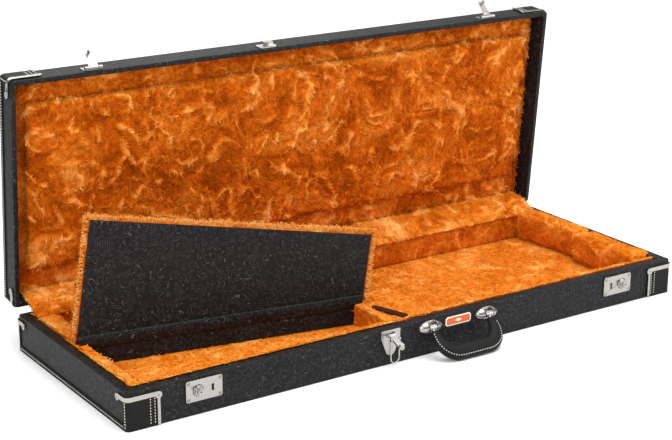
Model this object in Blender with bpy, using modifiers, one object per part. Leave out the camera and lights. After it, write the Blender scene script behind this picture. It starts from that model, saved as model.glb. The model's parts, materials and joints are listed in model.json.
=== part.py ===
"""Rectangular hard case for a solid-body electric guitar, open, lying on its base.

Frame: the origin is the centre of the base's underside, +X runs along the case towards the
body end, -Y is the front with the handle and locks, +Y is the hinge side and +Z is up.
Everything that belongs to a lid is written in closed-case coordinates and hangs from an
empty on its hinge axis, which holds the open pose.
"""
import math

import bmesh
import bpy
from mathutils import Euler, Matrix, Vector

MM = 0.001

# ---- driving dimensions ----
LENGTH = 1050 * MM
WIDTH = 372 * MM
BASE_HEIGHT = 60 * MM
LID_HEIGHT = 41 * MM
BASE_WALL = 18 * MM
LID_WALL = 8 * MM
PANEL = 5 * MM
CORNER_RADIUS = 6 * MM
GAP = 0.3 * MM
RIM_GAP = 0.5 * MM
SMALL_CORNER = 2 * MM

# ---- lid hinge ----
HINGE_OFFSET = 7.5 * MM
LID_OPEN = math.radians(85)
HINGE_SPACING = 350 * MM
HINGE_WIDTH = 50 * MM
HINGE_LEAF_HEIGHT = 24 * MM
KNUCKLE_RADIUS = 3.4 * MM
PIN_RADIUS = 1.6 * MM
SHEET_METAL = 1.5 * MM
HINGE_LEAF_OFFSET = 3 * MM
HINGE_WEB_OFFSET = 1.9 * MM

# ---- padding ----
BED_THICKNESS = 10 * MM
SIDE_PAD = 12 * MM
REAR_PAD_RISE = 5 * MM
PAD_BELOW_RIM = 2 * MM
PAD_EDGE = 4 * MM
END_PAD_REAR = 48 * MM
END_PAD_MIDDLE = 33 * MM
END_PAD_FRONT = 47 * MM
HEAD_PAD = 37 * MM
NECK_BLOCK_HEIGHT = 22 * MM
NECK_BLOCK_END_X = 74 * MM
NECK_BLOCK_REAR_Y = 30 * MM
LID_LINING = 7.7 * MM
LID_PAD = 15.7 * MM
LID_PAD_END_MARGIN = 30 * MM
LID_PAD_HINGE_MARGIN = 50 * MM
LID_PAD_FRONT_MARGIN = 44 * MM

# ---- accessory compartment ----
FOLD_LEFT_INSET = 10 * MM
FOLD_LEFT_Y = 33 * MM
FOLD_RIGHT = Vector((-28 * MM, -50 * MM))
FOLD_BELOW_RIM = 8 * MM
FOLD_GAP = 2 * MM
COMPARTMENT_OPEN = math.radians(95)
COMPARTMENT_WALL = 10 * MM
COMPARTMENT_LEFT_WALL = 27 * MM
COMPARTMENT_RIGHT_WALL = 17 * MM
LEDGE_LEFT = 80 * MM
LEDGE_RIGHT = 28 * MM
COVER_BOARD = 4 * MM
COVER_PLUSH = 5 * MM
COVER_FRONT_GAP = 7 * MM

# ---- leather ends and nickel corners ----
LEATHER = 1.2 * MM
LEATHER_REACH = 49 * MM
LEATHER_TOP_DROP = 14.5 * MM
LEATHER_FLANGE = 9 * MM
CLAMP_SHEET = 1.0 * MM
CLAMP_DROP = 7 * MM
CLAMP_STRIP = 7 * MM
CLAMP_REACH = 50 * MM
CLAMP_END_REACH = 24 * MM
CLAMP_EAR = 5.5 * MM
CLAMP_BAND = 4.5 * MM
RIVET_RADIUS = 2.2 * MM
RIVET_HEAD = 1.0 * MM

# ---- locks and hasps ----
LOCK_FROM_END = 138 * MM
LOCK_PLATE = Vector((60 * MM, 33 * MM))
LOCK_SHEET = 2.0 * MM
LOCK_PLATE_SHIFT = 14 * MM
LOCK_KNOB_SHIFT = 24 * MM
LOCK_KNOB_RADIUS = 8.5 * MM
LOCK_KNOB_HEIGHT = 5 * MM
LOCK_BARREL_RADIUS = 5.2 * MM
LOCK_BARREL_HEIGHT = 4 * MM
LOCK_STEM = 5 * MM
LOCK_TRAVEL = 4 * MM
LOCK_POCKET_SHARE = 0.7
LOCK_BARREL_SINK = 1 * MM
STAPLE_DROP = 26 * MM
STAPLE_WIDTH = 2.6 * MM
STAPLE_HEIGHT = 5.5 * MM
STAPLE_DEPTH = 8.5 * MM
SLOT_PLAY = 0.7 * MM
SLOT_SWEEP = 2.4 * MM
SCREW_RADIUS = 1.9 * MM
SCREW_HEAD = 0.6 * MM
SCREW_INSET = 4 * MM
LOCK_PLATE_CORNER = 3 * MM
HASP_WIDTH = 32 * MM
HASP_PLATE_HEIGHT = 16 * MM
HASP_TONGUE = 15 * MM
HASP_LENGTH = 33 * MM
HASP_AXIS_OUT = 4.7 * MM
HASP_AXIS_UP = 4 * MM
HASP_KNUCKLE = 3 * MM
HASP_OPEN = math.radians(140)
HASP_SHEET = 1.2 * MM
HASP_WEB = 2.4 * MM
TONGUE_SHEET = 1.8 * MM
TONGUE_TAPER_START = 8 * MM
TONGUE_TAPER_END = 12 * MM
TONGUE_TIP_SHARE = 0.75

# ---- draw latch ----
LATCH_X = -71 * MM
LATCH_PLATE_WIDTH = 36 * MM
LATCH_PLATE_HEIGHT = 42 * MM
LATCH_TOP_DROP = 2 * MM
LEVER_AXIS_OUT = 5.5 * MM
LEVER_AXIS_DROP = 10 * MM
LEVER_LENGTH = 32 * MM
LEVER_WIDTH = 11 * MM
LEVER_THICKNESS = 3 * MM
LEVER_OPEN = math.radians(65)
LEVER_BARREL = 2.8 * MM
LEVER_STUD = 1.1 * MM
LEVER_BOSS = Vector((4.4 * MM, 3.6 * MM, 5 * MM))
LATCH_SHEET = 1.4 * MM
LATCH_EAR = 1.6 * MM
LATCH_EAR_RADIUS = 3 * MM
LATCH_PIN = 1.2 * MM
LATCH_FOOT_RADIUS = 9 * MM
BAIL_PIVOT = 9 * MM
BAIL_LENGTH = 38 * MM
BAIL_WIRE = 1.25 * MM
BAIL_SIDE_GAP = 1.05 * MM
BAIL_WIDTH = LEVER_WIDTH + 2 * BAIL_WIRE + 2 * BAIL_SIDE_GAP
BAIL_EYE = 2.4 * MM
CATCH_WIDTH = 34 * MM
CATCH_HEIGHT = 18 * MM
CATCH_CORNER = 5 * MM
CATCH_HOOK = 9 * MM
CATCH_ARM = 2 * MM
CATCH_ARM_UP = 3 * MM
CATCH_LIP = 10 * MM

# ---- handle ----
HANDLE_X = 61 * MM
HANDLE_SPACING = 112 * MM
HANDLE_DROP = 13 * MM
HANDLE_AXIS_OUT = 7.5 * MM
HANDLE_REACH = 50 * MM
HANDLE_GRIP_RADIUS = 13 * MM
HANDLE_LEG_RADIUS = 7.5 * MM
HANDLE_FLATNESS = 0.68
HANDLE_BEND = 30 * MM
HANDLE_FLOOR_GAP = 0.7 * MM
HANDLE_EYE_RADIUS = 5.2 * MM
BRACKET_LENGTH = 46 * MM
BRACKET_HEIGHT = 21 * MM
BRACKET_DOME = 12 * MM
BRACKET_SLOT = 2 * HANDLE_LEG_RADIUS + 2 * MM
BRACKET_FLOOR = 1.5 * MM
BRACKET_PIN_SEAT = 3 * MM
BRACKET_PIN = 2 * MM
HANDLE_SHANK = 4 * MM
HANDLE_SHANK_SEAT = 5 * MM
HANDLE_EYE_SIDE_GAP = 2 * MM
HANDLE_LEG_GAP = 2 * MM
BADGE = Vector((50 * MM, 15 * MM))
BADGE_SHEET = 1.4 * MM

# ---- pull tab ----
TAB_LENGTH = 66 * MM
TAB_WIDTH = 14 * MM
TAB_THICKNESS = 2 * MM
TAB_ANGLE = math.radians(-67)
TAB_SLIT = Vector((9 * MM, 2 * MM))

# ---- places that follow from the sizes ----
FRONT_Y = -WIDTH / 2
REAR_Y = WIDTH / 2
INNER_X = LENGTH / 2 - BASE_WALL
INNER_Y = WIDTH / 2 - BASE_WALL
FLOOR_Z = PANEL + GAP
BED_Z = FLOOR_Z + BED_THICKNESS
PAD_Z = BED_Z + GAP
LID_Z = BASE_HEIGHT + RIM_GAP
LOCK_X = LENGTH / 2 - LOCK_FROM_END
FOLD_Z = BASE_HEIGHT - FOLD_BELOW_RIM
FOLD_LEFT = Vector((-INNER_X + FOLD_LEFT_INSET, FOLD_LEFT_Y))
HANDLE_Z = BASE_HEIGHT - HANDLE_DROP
HANDLE_HANG = HANDLE_Z - HANDLE_FLOOR_GAP - HANDLE_GRIP_RADIUS * (1 + HANDLE_FLATNESS) / 2
HANDLE_REST = math.acos(min(1, HANDLE_HANG / HANDLE_REACH))
HASP_Z = LID_Z + HASP_AXIS_UP
LEVER_Z = BASE_HEIGHT - LEVER_AXIS_DROP
STAPLE_Z = HASP_Z - STAPLE_DROP
LID_AXIS = Vector((0, REAR_Y + HINGE_OFFSET, BASE_HEIGHT))
FOLD_DIRECTION = (FOLD_RIGHT - FOLD_LEFT).normalized()
FOLD_ANGLE = math.atan2(FOLD_DIRECTION.y, FOLD_DIRECTION.x)

COLOURS = {
    "vinyl": ((0.030, 0.029, 0.029), 0.55, 0.0),
    "leather": ((0.022, 0.021, 0.022), 0.45, 0.0),
    "brown_leather": ((0.028, 0.014, 0.009), 0.5, 0.0),
    "nickel": ((0.72, 0.71, 0.69), 0.22, 1.0),
    "plush": ((0.80, 0.24, 0.03), 0.95, 0.0),
    "badge": ((0.72, 0.15, 0.03), 0.35, 0.0),
}


# ---- scene, materials and collections ----
def clear_scene():
    for item in list(bpy.data.objects):
        bpy.data.objects.remove(item, do_unlink=True)


def make_collection(name):
    collection = bpy.data.collections.new(name)
    bpy.context.scene.collection.children.link(collection)
    return collection


def make_material(name):
    colour, roughness, metallic = COLOURS[name]
    material = bpy.data.materials.new(name)
    material.use_nodes = True
    shader = material.node_tree.nodes["Principled BSDF"]
    shader.inputs["Base Color"].default_value = (*colour, 1)
    shader.inputs["Roughness"].default_value = roughness
    shader.inputs["Metallic"].default_value = metallic
    return material


clear_scene()
PARTS = make_collection("guitar_case")
CUTTERS = make_collection("guitar_case_cutters")
MATERIALS = {name: make_material(name) for name in COLOURS}


# ---- placing pieces ----
def make_axis(name, location, rotation=(0, 0, 0), parent=None):
    """An empty on a joint axis; its children are given in closed-case coordinates."""
    axis = bpy.data.objects.new(name, None)
    axis.empty_display_size = 0.03
    PARTS.objects.link(axis)
    place(axis, location, parent)
    axis.rotation_euler = rotation
    axis["closed_location"] = tuple(location)
    return axis


def place(item, location, parent=None):
    """Puts an object at its closed-case location, under the axis that carries it."""
    location = Vector(location)
    if parent:
        item.parent = parent
        location = location - Vector(parent["closed_location"])
    item.location = location


def add_piece(name, data, material, location=(0, 0, 0), parent=None, rotation=(0, 0, 0)):
    item = bpy.data.objects.new(name, data)
    item.data.materials.append(MATERIALS[material])
    PARTS.objects.link(item)
    place(item, location, parent)
    item.rotation_euler = rotation
    return item


def make_helper(item):
    """Turns an object into a hidden tool for a Boolean."""
    PARTS.objects.unlink(item)
    CUTTERS.objects.link(item)
    item.hide_render = True
    item.display_type = "WIRE"
    return item


def combine(target, operation, *tools):
    """Cuts the tools out of the target, or joins them to it."""
    for tool in tools:
        modifier = target.modifiers.new(operation.title(), "BOOLEAN")
        modifier.operation = operation
        modifier.object = make_helper(tool)
    return target


# ---- basic shapes ----
def box_mesh(name, size):
    mesh = bpy.data.meshes.new(name)
    form = bmesh.new()
    bmesh.ops.create_cube(form, size=1, matrix=Matrix.Diagonal((*size, 1)))
    form.to_mesh(mesh)
    form.free()
    return mesh


def box(name, low, high, material, parent=None):
    """A box given by its two closed-case corners."""
    low = Vector(low)
    high = Vector(high)
    return add_piece(name, box_mesh(name, high - low), material, (low + high) / 2, parent)


def soften(item, radius):
    bevel = item.modifiers.new("Soft edges", "BEVEL")
    bevel.width = radius
    bevel.segments = 2
    bevel.limit_method = "ANGLE"
    bevel.angle_limit = math.radians(30)
    return item


def cylinder_mesh(name, radius, length, sides, top_radius=None):
    """A closed cylinder or cone along local Z, centred on its origin."""
    mesh = bpy.data.meshes.new(name)
    form = bmesh.new()
    upper = radius if top_radius is None else top_radius
    bmesh.ops.create_cone(form, cap_ends=True, segments=sides, radius1=radius, radius2=upper, depth=length)
    form.to_mesh(mesh)
    form.free()
    mesh.shade_smooth()
    mesh.set_sharp_from_angle(angle=math.radians(35))
    return mesh


ALONG_X = (0, math.pi / 2, 0)
OUT_FRONT = (math.pi / 2, 0, 0)
OUT_REAR = (-math.pi / 2, 0, 0)


def rod(name, radius, length, material, location, parent=None, rotation=ALONG_X, sides=16, top_radius=None):
    mesh = cylinder_mesh(name, radius, length, sides, top_radius)
    return add_piece(name, mesh, material, location, parent, rotation)


def outline(name, points, thickness, material, location, parent=None, rotation=(0, 0, 0)):
    """A flat closed outline in local XY, centred on its own mid-plane."""
    curve = bpy.data.curves.new(name, "CURVE")
    curve.dimensions = "2D"
    curve.fill_mode = "BOTH"
    curve.extrude = thickness / 2
    spline = curve.splines.new("POLY")
    spline.points.add(len(points) - 1)
    for control, (x, y) in zip(spline.points, points):
        control.co = (x, y, 0, 1)
    spline.use_cyclic_u = True
    return add_piece(name, curve, material, location, parent, rotation)


def as_mesh(item):
    """Replaces a curve object with its welded mesh, so that a Boolean can use it."""
    bpy.context.view_layer.update()
    evaluated = item.evaluated_get(bpy.context.evaluated_depsgraph_get())
    mesh = bpy.data.meshes.new_from_object(evaluated)
    form = bmesh.new()
    form.from_mesh(mesh)
    bmesh.ops.remove_doubles(form, verts=form.verts, dist=1e-6)
    bmesh.ops.recalc_face_normals(form, faces=form.faces)
    form.to_mesh(mesh)
    form.free()
    name = item.name
    item.name = name + "_curve"
    solid = bpy.data.objects.new(name, mesh)
    PARTS.objects.link(solid)
    solid.parent = item.parent
    solid.location = item.location
    solid.rotation_euler = item.rotation_euler
    solid.scale = item.scale
    bpy.data.objects.remove(item, do_unlink=True)
    return solid


def arc(centre, radius, start, end, steps):
    """Points on a circle arc, angles in degrees."""
    turns = [math.radians(start + (end - start) * step / steps) for step in range(steps + 1)]
    return [(centre[0] + radius * math.cos(turn), centre[1] + radius * math.sin(turn)) for turn in turns]


def rounded_rectangle(width, height, radius, steps=3):
    x = width / 2 - radius
    y = height / 2 - radius
    corners = ((x, y, 0), (-x, y, 90), (-x, -y, 180), (x, -y, 270))
    return [point for cx, cy, start in corners for point in arc((cx, cy), radius, start, start + 90, steps)]


# ---- shell of base and lid ----
def tray_walls(prefix, wall, low_z, high_z, parent=None):
    """Long front and rear walls with rounded outer corners, and two end walls between them."""
    walls = {}
    for side, sign in (("front", -1), ("rear", 1)):
        outer = sign * WIDTH / 2
        inner = sign * (WIDTH / 2 - wall)
        name = f"{prefix}_{side}_wall"
        low = (-LENGTH / 2, min(outer, inner), low_z)
        high = (LENGTH / 2, max(outer, inner), high_z)
        walls[side] = box(name, low, high, "vinyl", parent)
        round_outer_corners(walls[side], sign)
    for side, sign in (("left", -1), ("right", 1)):
        outer = sign * LENGTH / 2
        inner = sign * (LENGTH / 2 - wall)
        half = WIDTH / 2 - wall - GAP
        low = (min(outer, inner), -half, low_z)
        high = (max(outer, inner), half, high_z)
        walls[side] = box(f"{prefix}_{side}_end", low, high, "vinyl", parent)
    return walls


def round_outer_corners(item, sign):
    """Rounds the upright edges on the outer side of a long wall or of a panel's ends."""
    form = bmesh.new()
    form.from_mesh(item.data)
    edges = []
    for edge in form.edges:
        first, second = (vertex.co for vertex in edge.verts)
        upright = abs(first.x - second.x) < MM and abs(first.y - second.y) < MM
        outside = sign == 0 or first.y * sign > 0
        if upright and outside:
            edges.append(edge)
    bmesh.ops.bevel(form, geom=edges, offset=CORNER_RADIUS, segments=4, profile=0.5, affect="EDGES")
    form.to_mesh(item.data)
    form.free()


def panel(name, low_z, high_z, parent=None):
    low = (-LENGTH / 2, -WIDTH / 2, low_z)
    item = box(name, low, (LENGTH / 2, WIDTH / 2, high_z), "vinyl", parent)
    round_outer_corners(item, 0)
    return item


def end_path(reach, offset, sign, end_reach=None):
    """Plan points round one end of the case, a constant distance outside it.

    With end_reach the path stops that far along the end face; without it, it goes all round.
    """
    radius = CORNER_RADIUS + offset
    corner_x = LENGTH / 2 - CORNER_RADIUS
    corner_y = WIDTH / 2 - CORNER_RADIUS
    front = [(LENGTH / 2 - reach, -WIDTH / 2 - offset)]
    front += arc((corner_x, -corner_y), radius, -90, 0, 4)
    if end_reach is None:
        front += [(x, -y) for x, y in reversed(front)]
    else:
        front.append((LENGTH / 2 + offset, -WIDTH / 2 + end_reach))
    return [(sign * x, y) for x, y in front]


def ribbon_wall(name, points, low_z, high_z, thickness, material, parent=None):
    """An upright strip of sheet that follows a plan path."""
    curve = bpy.data.curves.new(name, "CURVE")
    curve.dimensions = "2D"
    curve.fill_mode = "NONE"
    curve.extrude = (high_z - low_z) / 2
    spline = curve.splines.new("POLY")
    spline.points.add(len(points) - 1)
    for control, (x, y) in zip(spline.points, points):
        control.co = (x, y, 0, 1)
    strip = add_piece(name, curve, material, (0, 0, (low_z + high_z) / 2), parent)
    strip = as_mesh(strip)
    sheet = strip.modifiers.new("Sheet", "SOLIDIFY")
    sheet.thickness = thickness
    sheet.offset = 0
    sheet.use_even_offset = True
    return strip


def leather_end(name, sign, low_z, high_z, flange_low, flange_high, parent=None):
    """Leather wrapped round one end, with a window that shows the vinyl of the end face."""
    path = end_path(LEATHER_REACH, GAP + LEATHER / 2, sign)
    leather = ribbon_wall(name, path, low_z, high_z, LEATHER, "leather", parent)
    half_y = WIDTH / 2 - LEATHER_FLANGE
    near_x = sign * (LENGTH / 2 - BASE_WALL / 2)
    far_x = sign * (LENGTH / 2 + BASE_WALL)
    low = (min(near_x, far_x), -half_y, flange_low)
    high = (max(near_x, far_x), half_y, flange_high)
    window = box(name + "_window", low, high, "leather", parent)
    return combine(leather, "DIFFERENCE", window)


def corner_clamp(name, sign_x, sign_y, strip_low, strip_high, band_end, parent=None):
    """Sheet corner: a strip round the corner, a riveted ear at each end and a band down the wall."""
    outside = GAP * 2 + LEATHER + CLAMP_SHEET / 2
    path = end_path(CLAMP_REACH, outside, sign_x, CLAMP_END_REACH)
    path = [(x, -sign_y * y) for x, y in path]
    clamp = ribbon_wall(name, path, strip_low, strip_high, CLAMP_SHEET, "nickel", parent)
    toward_band = math.copysign(1, band_end - strip_low)
    ear_z = (strip_low + strip_high) / 2 + toward_band * CLAMP_EAR * 0.4
    long_ear_x = sign_x * (LENGTH / 2 - CLAMP_REACH)
    face_y = sign_y * (WIDTH / 2 + outside)
    end_x = sign_x * (LENGTH / 2 + outside)
    short_ear_y = sign_y * (WIDTH / 2 - CLAMP_END_REACH)
    extras = []
    long_facing = OUT_FRONT if sign_y < 0 else OUT_REAR
    short_facing = (0, sign_x * math.pi / 2, 0)
    long_ear = ("long", (long_ear_x, face_y, ear_z), long_facing)
    short_ear = ("short", (end_x, short_ear_y, ear_z), short_facing)
    for label, at, facing in (long_ear, short_ear):
        ear = rod(f"{name}_{label}_ear", CLAMP_EAR, CLAMP_SHEET + GAP, "nickel", at, parent, facing)
        extras += [ear, rivet(f"{name}_{label}_rivet", at, facing, parent)]
    half_thick = CLAMP_SHEET / 2 + GAP / 4
    low = (long_ear_x - CLAMP_BAND / 2, face_y - half_thick, min(band_end, ear_z))
    high = (long_ear_x + CLAMP_BAND / 2, face_y + half_thick, max(band_end, ear_z))
    extras.append(box(name + "_band", low, high, "nickel", parent))
    return combine(clamp, "UNION", *extras)


def rivet(name, at, facing, parent):
    """A low rivet head whose foot is sunk in the sheet that it holds."""
    outward = rotation_matrix(facing) @ Vector((0, 0, 1))
    lift = (CLAMP_SHEET + GAP) / 2 + RIVET_HEAD / 2 - GAP
    place_at = Vector(at) + outward * lift
    return rod(name, RIVET_RADIUS, RIVET_HEAD, "nickel", place_at, parent, facing, 10, RIVET_RADIUS * 0.6)


def corner_clamps(prefix, strip_low, strip_high, band_end, parent=None):
    for side_y, sign_y in (("front", -1), ("rear", 1)):
        for side_x, sign_x in (("left", -1), ("right", 1)):
            name = f"{prefix}_{side_y}_{side_x}"
            corner_clamp(name, sign_x, sign_y, strip_low, strip_high, band_end, parent)


def rotation_matrix(rotation):
    return Euler(rotation).to_matrix()


# ---- locks, hasps and latch ----
def screw(name, at, facing, sheet, parent=None):
    """A screw head whose underside is sunk in the sheet that it holds."""
    outward = rotation_matrix(facing) @ Vector((0, 0, 1))
    place_at = Vector(at) + outward * (sheet / 2 + SCREW_HEAD / 2 - GAP / 2)
    height = SCREW_HEAD + GAP
    return rod(name, SCREW_RADIUS, height, "nickel", place_at, parent, facing, 8, SCREW_RADIUS * 0.75)


def lock(side, sign, front_wall):
    """Plate with a staple slot and a sliding knob, and the pockets behind them."""
    centre_x = sign * (LOCK_X + LOCK_PLATE_SHIFT)
    knob_x = sign * (LOCK_X + LOCK_KNOB_SHIFT)
    slot_x = sign * LOCK_X
    plate_y = FRONT_Y - GAP - LOCK_SHEET / 2
    shape = rounded_rectangle(LOCK_PLATE.x, LOCK_PLATE.y, LOCK_PLATE_CORNER)
    plate_at = (centre_x, plate_y, STAPLE_Z)
    plate = outline(f"lock_plate_{side}", shape, LOCK_SHEET, "nickel", plate_at, None, OUT_FRONT)
    plate = as_mesh(plate)
    half_slot = Vector((STAPLE_WIDTH / 2 + SLOT_PLAY, STAPLE_HEIGHT / 2 + SLOT_SWEEP))
    half_travel = LOCK_STEM / 2 + GAP
    reach = LOCK_TRAVEL * sign
    stem_low = min(knob_x, knob_x + reach) - half_travel
    stem_high = max(knob_x, knob_x + reach) + half_travel
    outer = FRONT_Y - 3 * LOCK_SHEET
    plate_cut = (plate, FRONT_Y + LOCK_SHEET, 0)
    wall_cut = (front_wall, FRONT_Y + BASE_WALL * LOCK_POCKET_SHARE, GAP)
    for target, inner, grow in (plate_cut, wall_cut):
        name = f"{target.name}_{side}"
        slot_low = (slot_x - half_slot.x - grow, outer, STAPLE_Z - half_slot.y - grow)
        slot_high = (slot_x + half_slot.x + grow, inner, STAPLE_Z + half_slot.y + grow)
        slot_cut = box(name + "_slot_cut", slot_low, slot_high, "nickel")
        guide_low = (stem_low - grow, outer, STAPLE_Z - half_travel - grow)
        guide_high = (stem_high + grow, inner, STAPLE_Z + half_travel + grow)
        guide_cut = box(name + "_guide_cut", guide_low, guide_high, "nickel")
        combine(target, "DIFFERENCE", slot_cut, guide_cut)
    lock_slide(side, sign, knob_x)
    reach_x = LOCK_PLATE.x / 2 - SCREW_INSET
    reach_z = LOCK_PLATE.y / 2 - SCREW_INSET
    heads = []
    for dx in (-1, 1):
        for dz in (-1, 1):
            at = (centre_x + dx * reach_x, plate_y, STAPLE_Z + dz * reach_z)
            heads.append(screw(f"{plate.name}_screw_{dx}_{dz}", at, OUT_FRONT, LOCK_SHEET))
    return combine(plate, "UNION", *heads)


def lock_slide(side, sign, knob_x):
    face = FRONT_Y - GAP - LOCK_SHEET - GAP
    base_y = face - LOCK_KNOB_HEIGHT / 2
    at = (knob_x, base_y, STAPLE_Z)
    slide = rod(f"lock_slide_{side}", LOCK_KNOB_RADIUS, LOCK_KNOB_HEIGHT, "nickel", at, None, OUT_FRONT, 20,
                LOCK_KNOB_RADIUS * 0.8)
    barrel_length = LOCK_BARREL_HEIGHT + 2 * LOCK_BARREL_SINK
    barrel_at = (knob_x, face - LOCK_KNOB_HEIGHT - LOCK_BARREL_HEIGHT / 2 + LOCK_BARREL_SINK, STAPLE_Z)
    name = f"{slide.name}_barrel"
    barrel = rod(name, LOCK_BARREL_RADIUS, barrel_length, "nickel", barrel_at, None, OUT_FRONT)
    half = LOCK_STEM / 2
    stem_low = (knob_x - half, face - MM, STAPLE_Z - half)
    stem_high = (knob_x + half, FRONT_Y + BASE_WALL * 0.4, STAPLE_Z + half)
    stem = box(f"lock_slide_{side}_stem", stem_low, stem_high, "nickel")
    return combine(slide, "UNION", barrel, stem)


def hasp(side, sign, lid_axis):
    """Hinged tongue with a staple, on a plate screwed to the lid's front wall."""
    centre_x = sign * LOCK_X
    plate_y = FRONT_Y - GAP - HASP_SHEET / 2
    plate_z = HASP_Z + HASP_PLATE_HEIGHT / 2
    shape = rounded_rectangle(HASP_WIDTH, HASP_PLATE_HEIGHT, SMALL_CORNER)
    plate_at = (centre_x, plate_y, plate_z)
    plate = outline(f"hasp_plate_{side}", shape, HASP_SHEET, "nickel", plate_at, lid_axis, OUT_FRONT)
    plate = as_mesh(plate)
    axis_y = FRONT_Y - HASP_AXIS_OUT
    half_tongue = HASP_TONGUE / 2
    cheek = (HASP_WIDTH / 2 - half_tongue - GAP - MM) / 2
    cheek_x = half_tongue + GAP + cheek
    for label, shift in (("a", -cheek_x), ("b", cheek_x)):
        at = (centre_x + shift, axis_y, HASP_Z)
        name = f"{plate.name}_knuckle_{label}"
        knuckle = rod(name, HASP_KNUCKLE, 2 * cheek, "nickel", at, lid_axis, ALONG_X, 12)
        low = (centre_x + shift - cheek * 0.9, axis_y, HASP_Z + MM)
        high = (centre_x + shift + cheek * 0.9, plate_y, HASP_Z + HASP_WEB)
        web = box(f"{plate.name}_web_{label}", low, high, "nickel", lid_axis)
        combine(plate, "UNION", knuckle, web)
    axis = make_axis(f"hasp_axis_{side}", (centre_x, axis_y, HASP_Z), (-HASP_OPEN, 0, 0), lid_axis)
    hasp_tongue(side, centre_x, axis_y, axis)
    return plate


def hasp_tongue(side, centre_x, axis_y, axis):
    """The tongue lies flat on the plates when the case is shut, and its staple points inwards."""
    half = HASP_TONGUE / 2
    tip = half * TONGUE_TIP_SHARE
    front = axis_y + GAP
    middle_y = front + TONGUE_SHEET / 2
    name = f"hasp_{side}"
    points = [(half, 0), (half, -TONGUE_TAPER_START), (tip, -TONGUE_TAPER_END)]
    points += arc((0, -HASP_LENGTH + tip), tip, 0, -180, 6)
    points += [(-tip, -TONGUE_TAPER_END), (-half, -TONGUE_TAPER_START), (-half, 0)]
    at = (centre_x, middle_y, HASP_Z)
    tongue = as_mesh(outline(name, points, TONGUE_SHEET, "nickel", at, axis, OUT_FRONT))
    roll_at = (centre_x, axis_y, HASP_Z)
    roll_radius = HASP_KNUCKLE - GAP / 2
    roll = rod(f"{name}_roll", roll_radius, HASP_TONGUE - GAP, "nickel", roll_at, axis, ALONG_X, 12)
    staple_low = (centre_x - STAPLE_WIDTH / 2, middle_y, STAPLE_Z - STAPLE_HEIGHT / 2)
    staple_end = front + TONGUE_SHEET + STAPLE_DEPTH
    staple_high = (centre_x + STAPLE_WIDTH / 2, staple_end, STAPLE_Z + STAPLE_HEIGHT / 2)
    staple = box(f"{name}_staple", staple_low, staple_high, "nickel", axis)
    return combine(tongue, "UNION", roll, staple)


def shield(width, height, bottom_radius):
    """Plate outline: square shoulders that narrow to a round foot, top edge at y = 0."""
    half = width / 2
    points = [(half, 0), (half, -height * 0.32), (half * 0.86, -height * 0.45)]
    points += arc((0, -height + bottom_radius), bottom_radius, -20, -160, 6)
    points += [(-half * 0.86, -height * 0.45), (-half, -height * 0.32), (-half, 0)]
    return points


def draw_latch():
    """Middle latch on the base: plate, pin, folding lever and wire bail."""
    top = BASE_HEIGHT - LATCH_TOP_DROP
    sheet_y = FRONT_Y - GAP - LATCH_SHEET / 2
    shape = shield(LATCH_PLATE_WIDTH, LATCH_PLATE_HEIGHT, LATCH_FOOT_RADIUS)
    plate_at = (LATCH_X, sheet_y, top)
    plate = as_mesh(outline("draw_latch_plate", shape, LATCH_SHEET, "nickel", plate_at, None, OUT_FRONT))
    axis_y = FRONT_Y - LEVER_AXIS_OUT
    ear_x = LEVER_WIDTH / 2 + GAP + LATCH_EAR / 2
    for label, shift in (("a", -ear_x), ("b", ear_x)):
        low = (LATCH_X + shift - LATCH_EAR / 2, axis_y, LEVER_Z - LATCH_EAR_RADIUS)
        high = (LATCH_X + shift + LATCH_EAR / 2, sheet_y, LEVER_Z + LATCH_EAR_RADIUS)
        web = box(f"latch_web_{label}", low, high, "nickel")
        at = (LATCH_X + shift, axis_y, LEVER_Z)
        ear = rod(f"latch_ear_{label}", LATCH_EAR_RADIUS, LATCH_EAR * 0.98, "nickel", at, None, ALONG_X, 12)
        combine(plate, "UNION", web, ear)
    pin = rod("latch_pin", LATCH_PIN, 2 * ear_x, "nickel", (LATCH_X, axis_y, LEVER_Z), None, ALONG_X, 12)
    combine(plate, "UNION", pin)
    lever_axis = make_axis("lever_axis", (LATCH_X, axis_y, LEVER_Z), (-LEVER_OPEN, 0, 0))
    draw_lever(axis_y, lever_axis)
    draw_bail(axis_y, lever_axis)


def draw_lever(axis_y, lever_axis):
    """The lever hangs straight down from its pin when the latch is closed."""
    half = LEVER_WIDTH / 2
    points = [(half, 0), (half, -LEVER_LENGTH * 0.55)]
    points += arc((0, -LEVER_LENGTH + half * 0.8), half * 0.8, 0, -180, 6)
    points += [(-half, -LEVER_LENGTH * 0.55), (-half, 0)]
    pivot = (LATCH_X, axis_y, LEVER_Z)
    lever = as_mesh(outline("draw_lever", points, LEVER_THICKNESS, "nickel", pivot, lever_axis, OUT_FRONT))
    width = LEVER_WIDTH - GAP / 2
    barrel = rod("draw_lever_barrel", LEVER_BARREL, width, "nickel", pivot, lever_axis, ALONG_X, 12)
    boss_z = LEVER_Z - LEVER_LENGTH + half
    boss_at = (LATCH_X, axis_y - LEVER_THICKNESS, boss_z)
    boss = rod("draw_lever_boss", LEVER_BOSS.x, LEVER_BOSS.z, "nickel", boss_at, lever_axis, OUT_FRONT, 14,
               LEVER_BOSS.y)
    bore_radius = LATCH_PIN + GAP
    bore = rod("draw_lever_bore", bore_radius, 3 * LEVER_WIDTH, "nickel", pivot, lever_axis, ALONG_X, 12)
    stud_length = BAIL_WIDTH + 2 * BAIL_WIRE
    stud_at = (LATCH_X, axis_y, LEVER_Z - BAIL_PIVOT)
    stud = rod("draw_lever_stud", LEVER_STUD, stud_length, "nickel", stud_at, lever_axis, ALONG_X, 10)
    combine(lever, "UNION", barrel, boss, stud)
    return combine(lever, "DIFFERENCE", bore)


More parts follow.
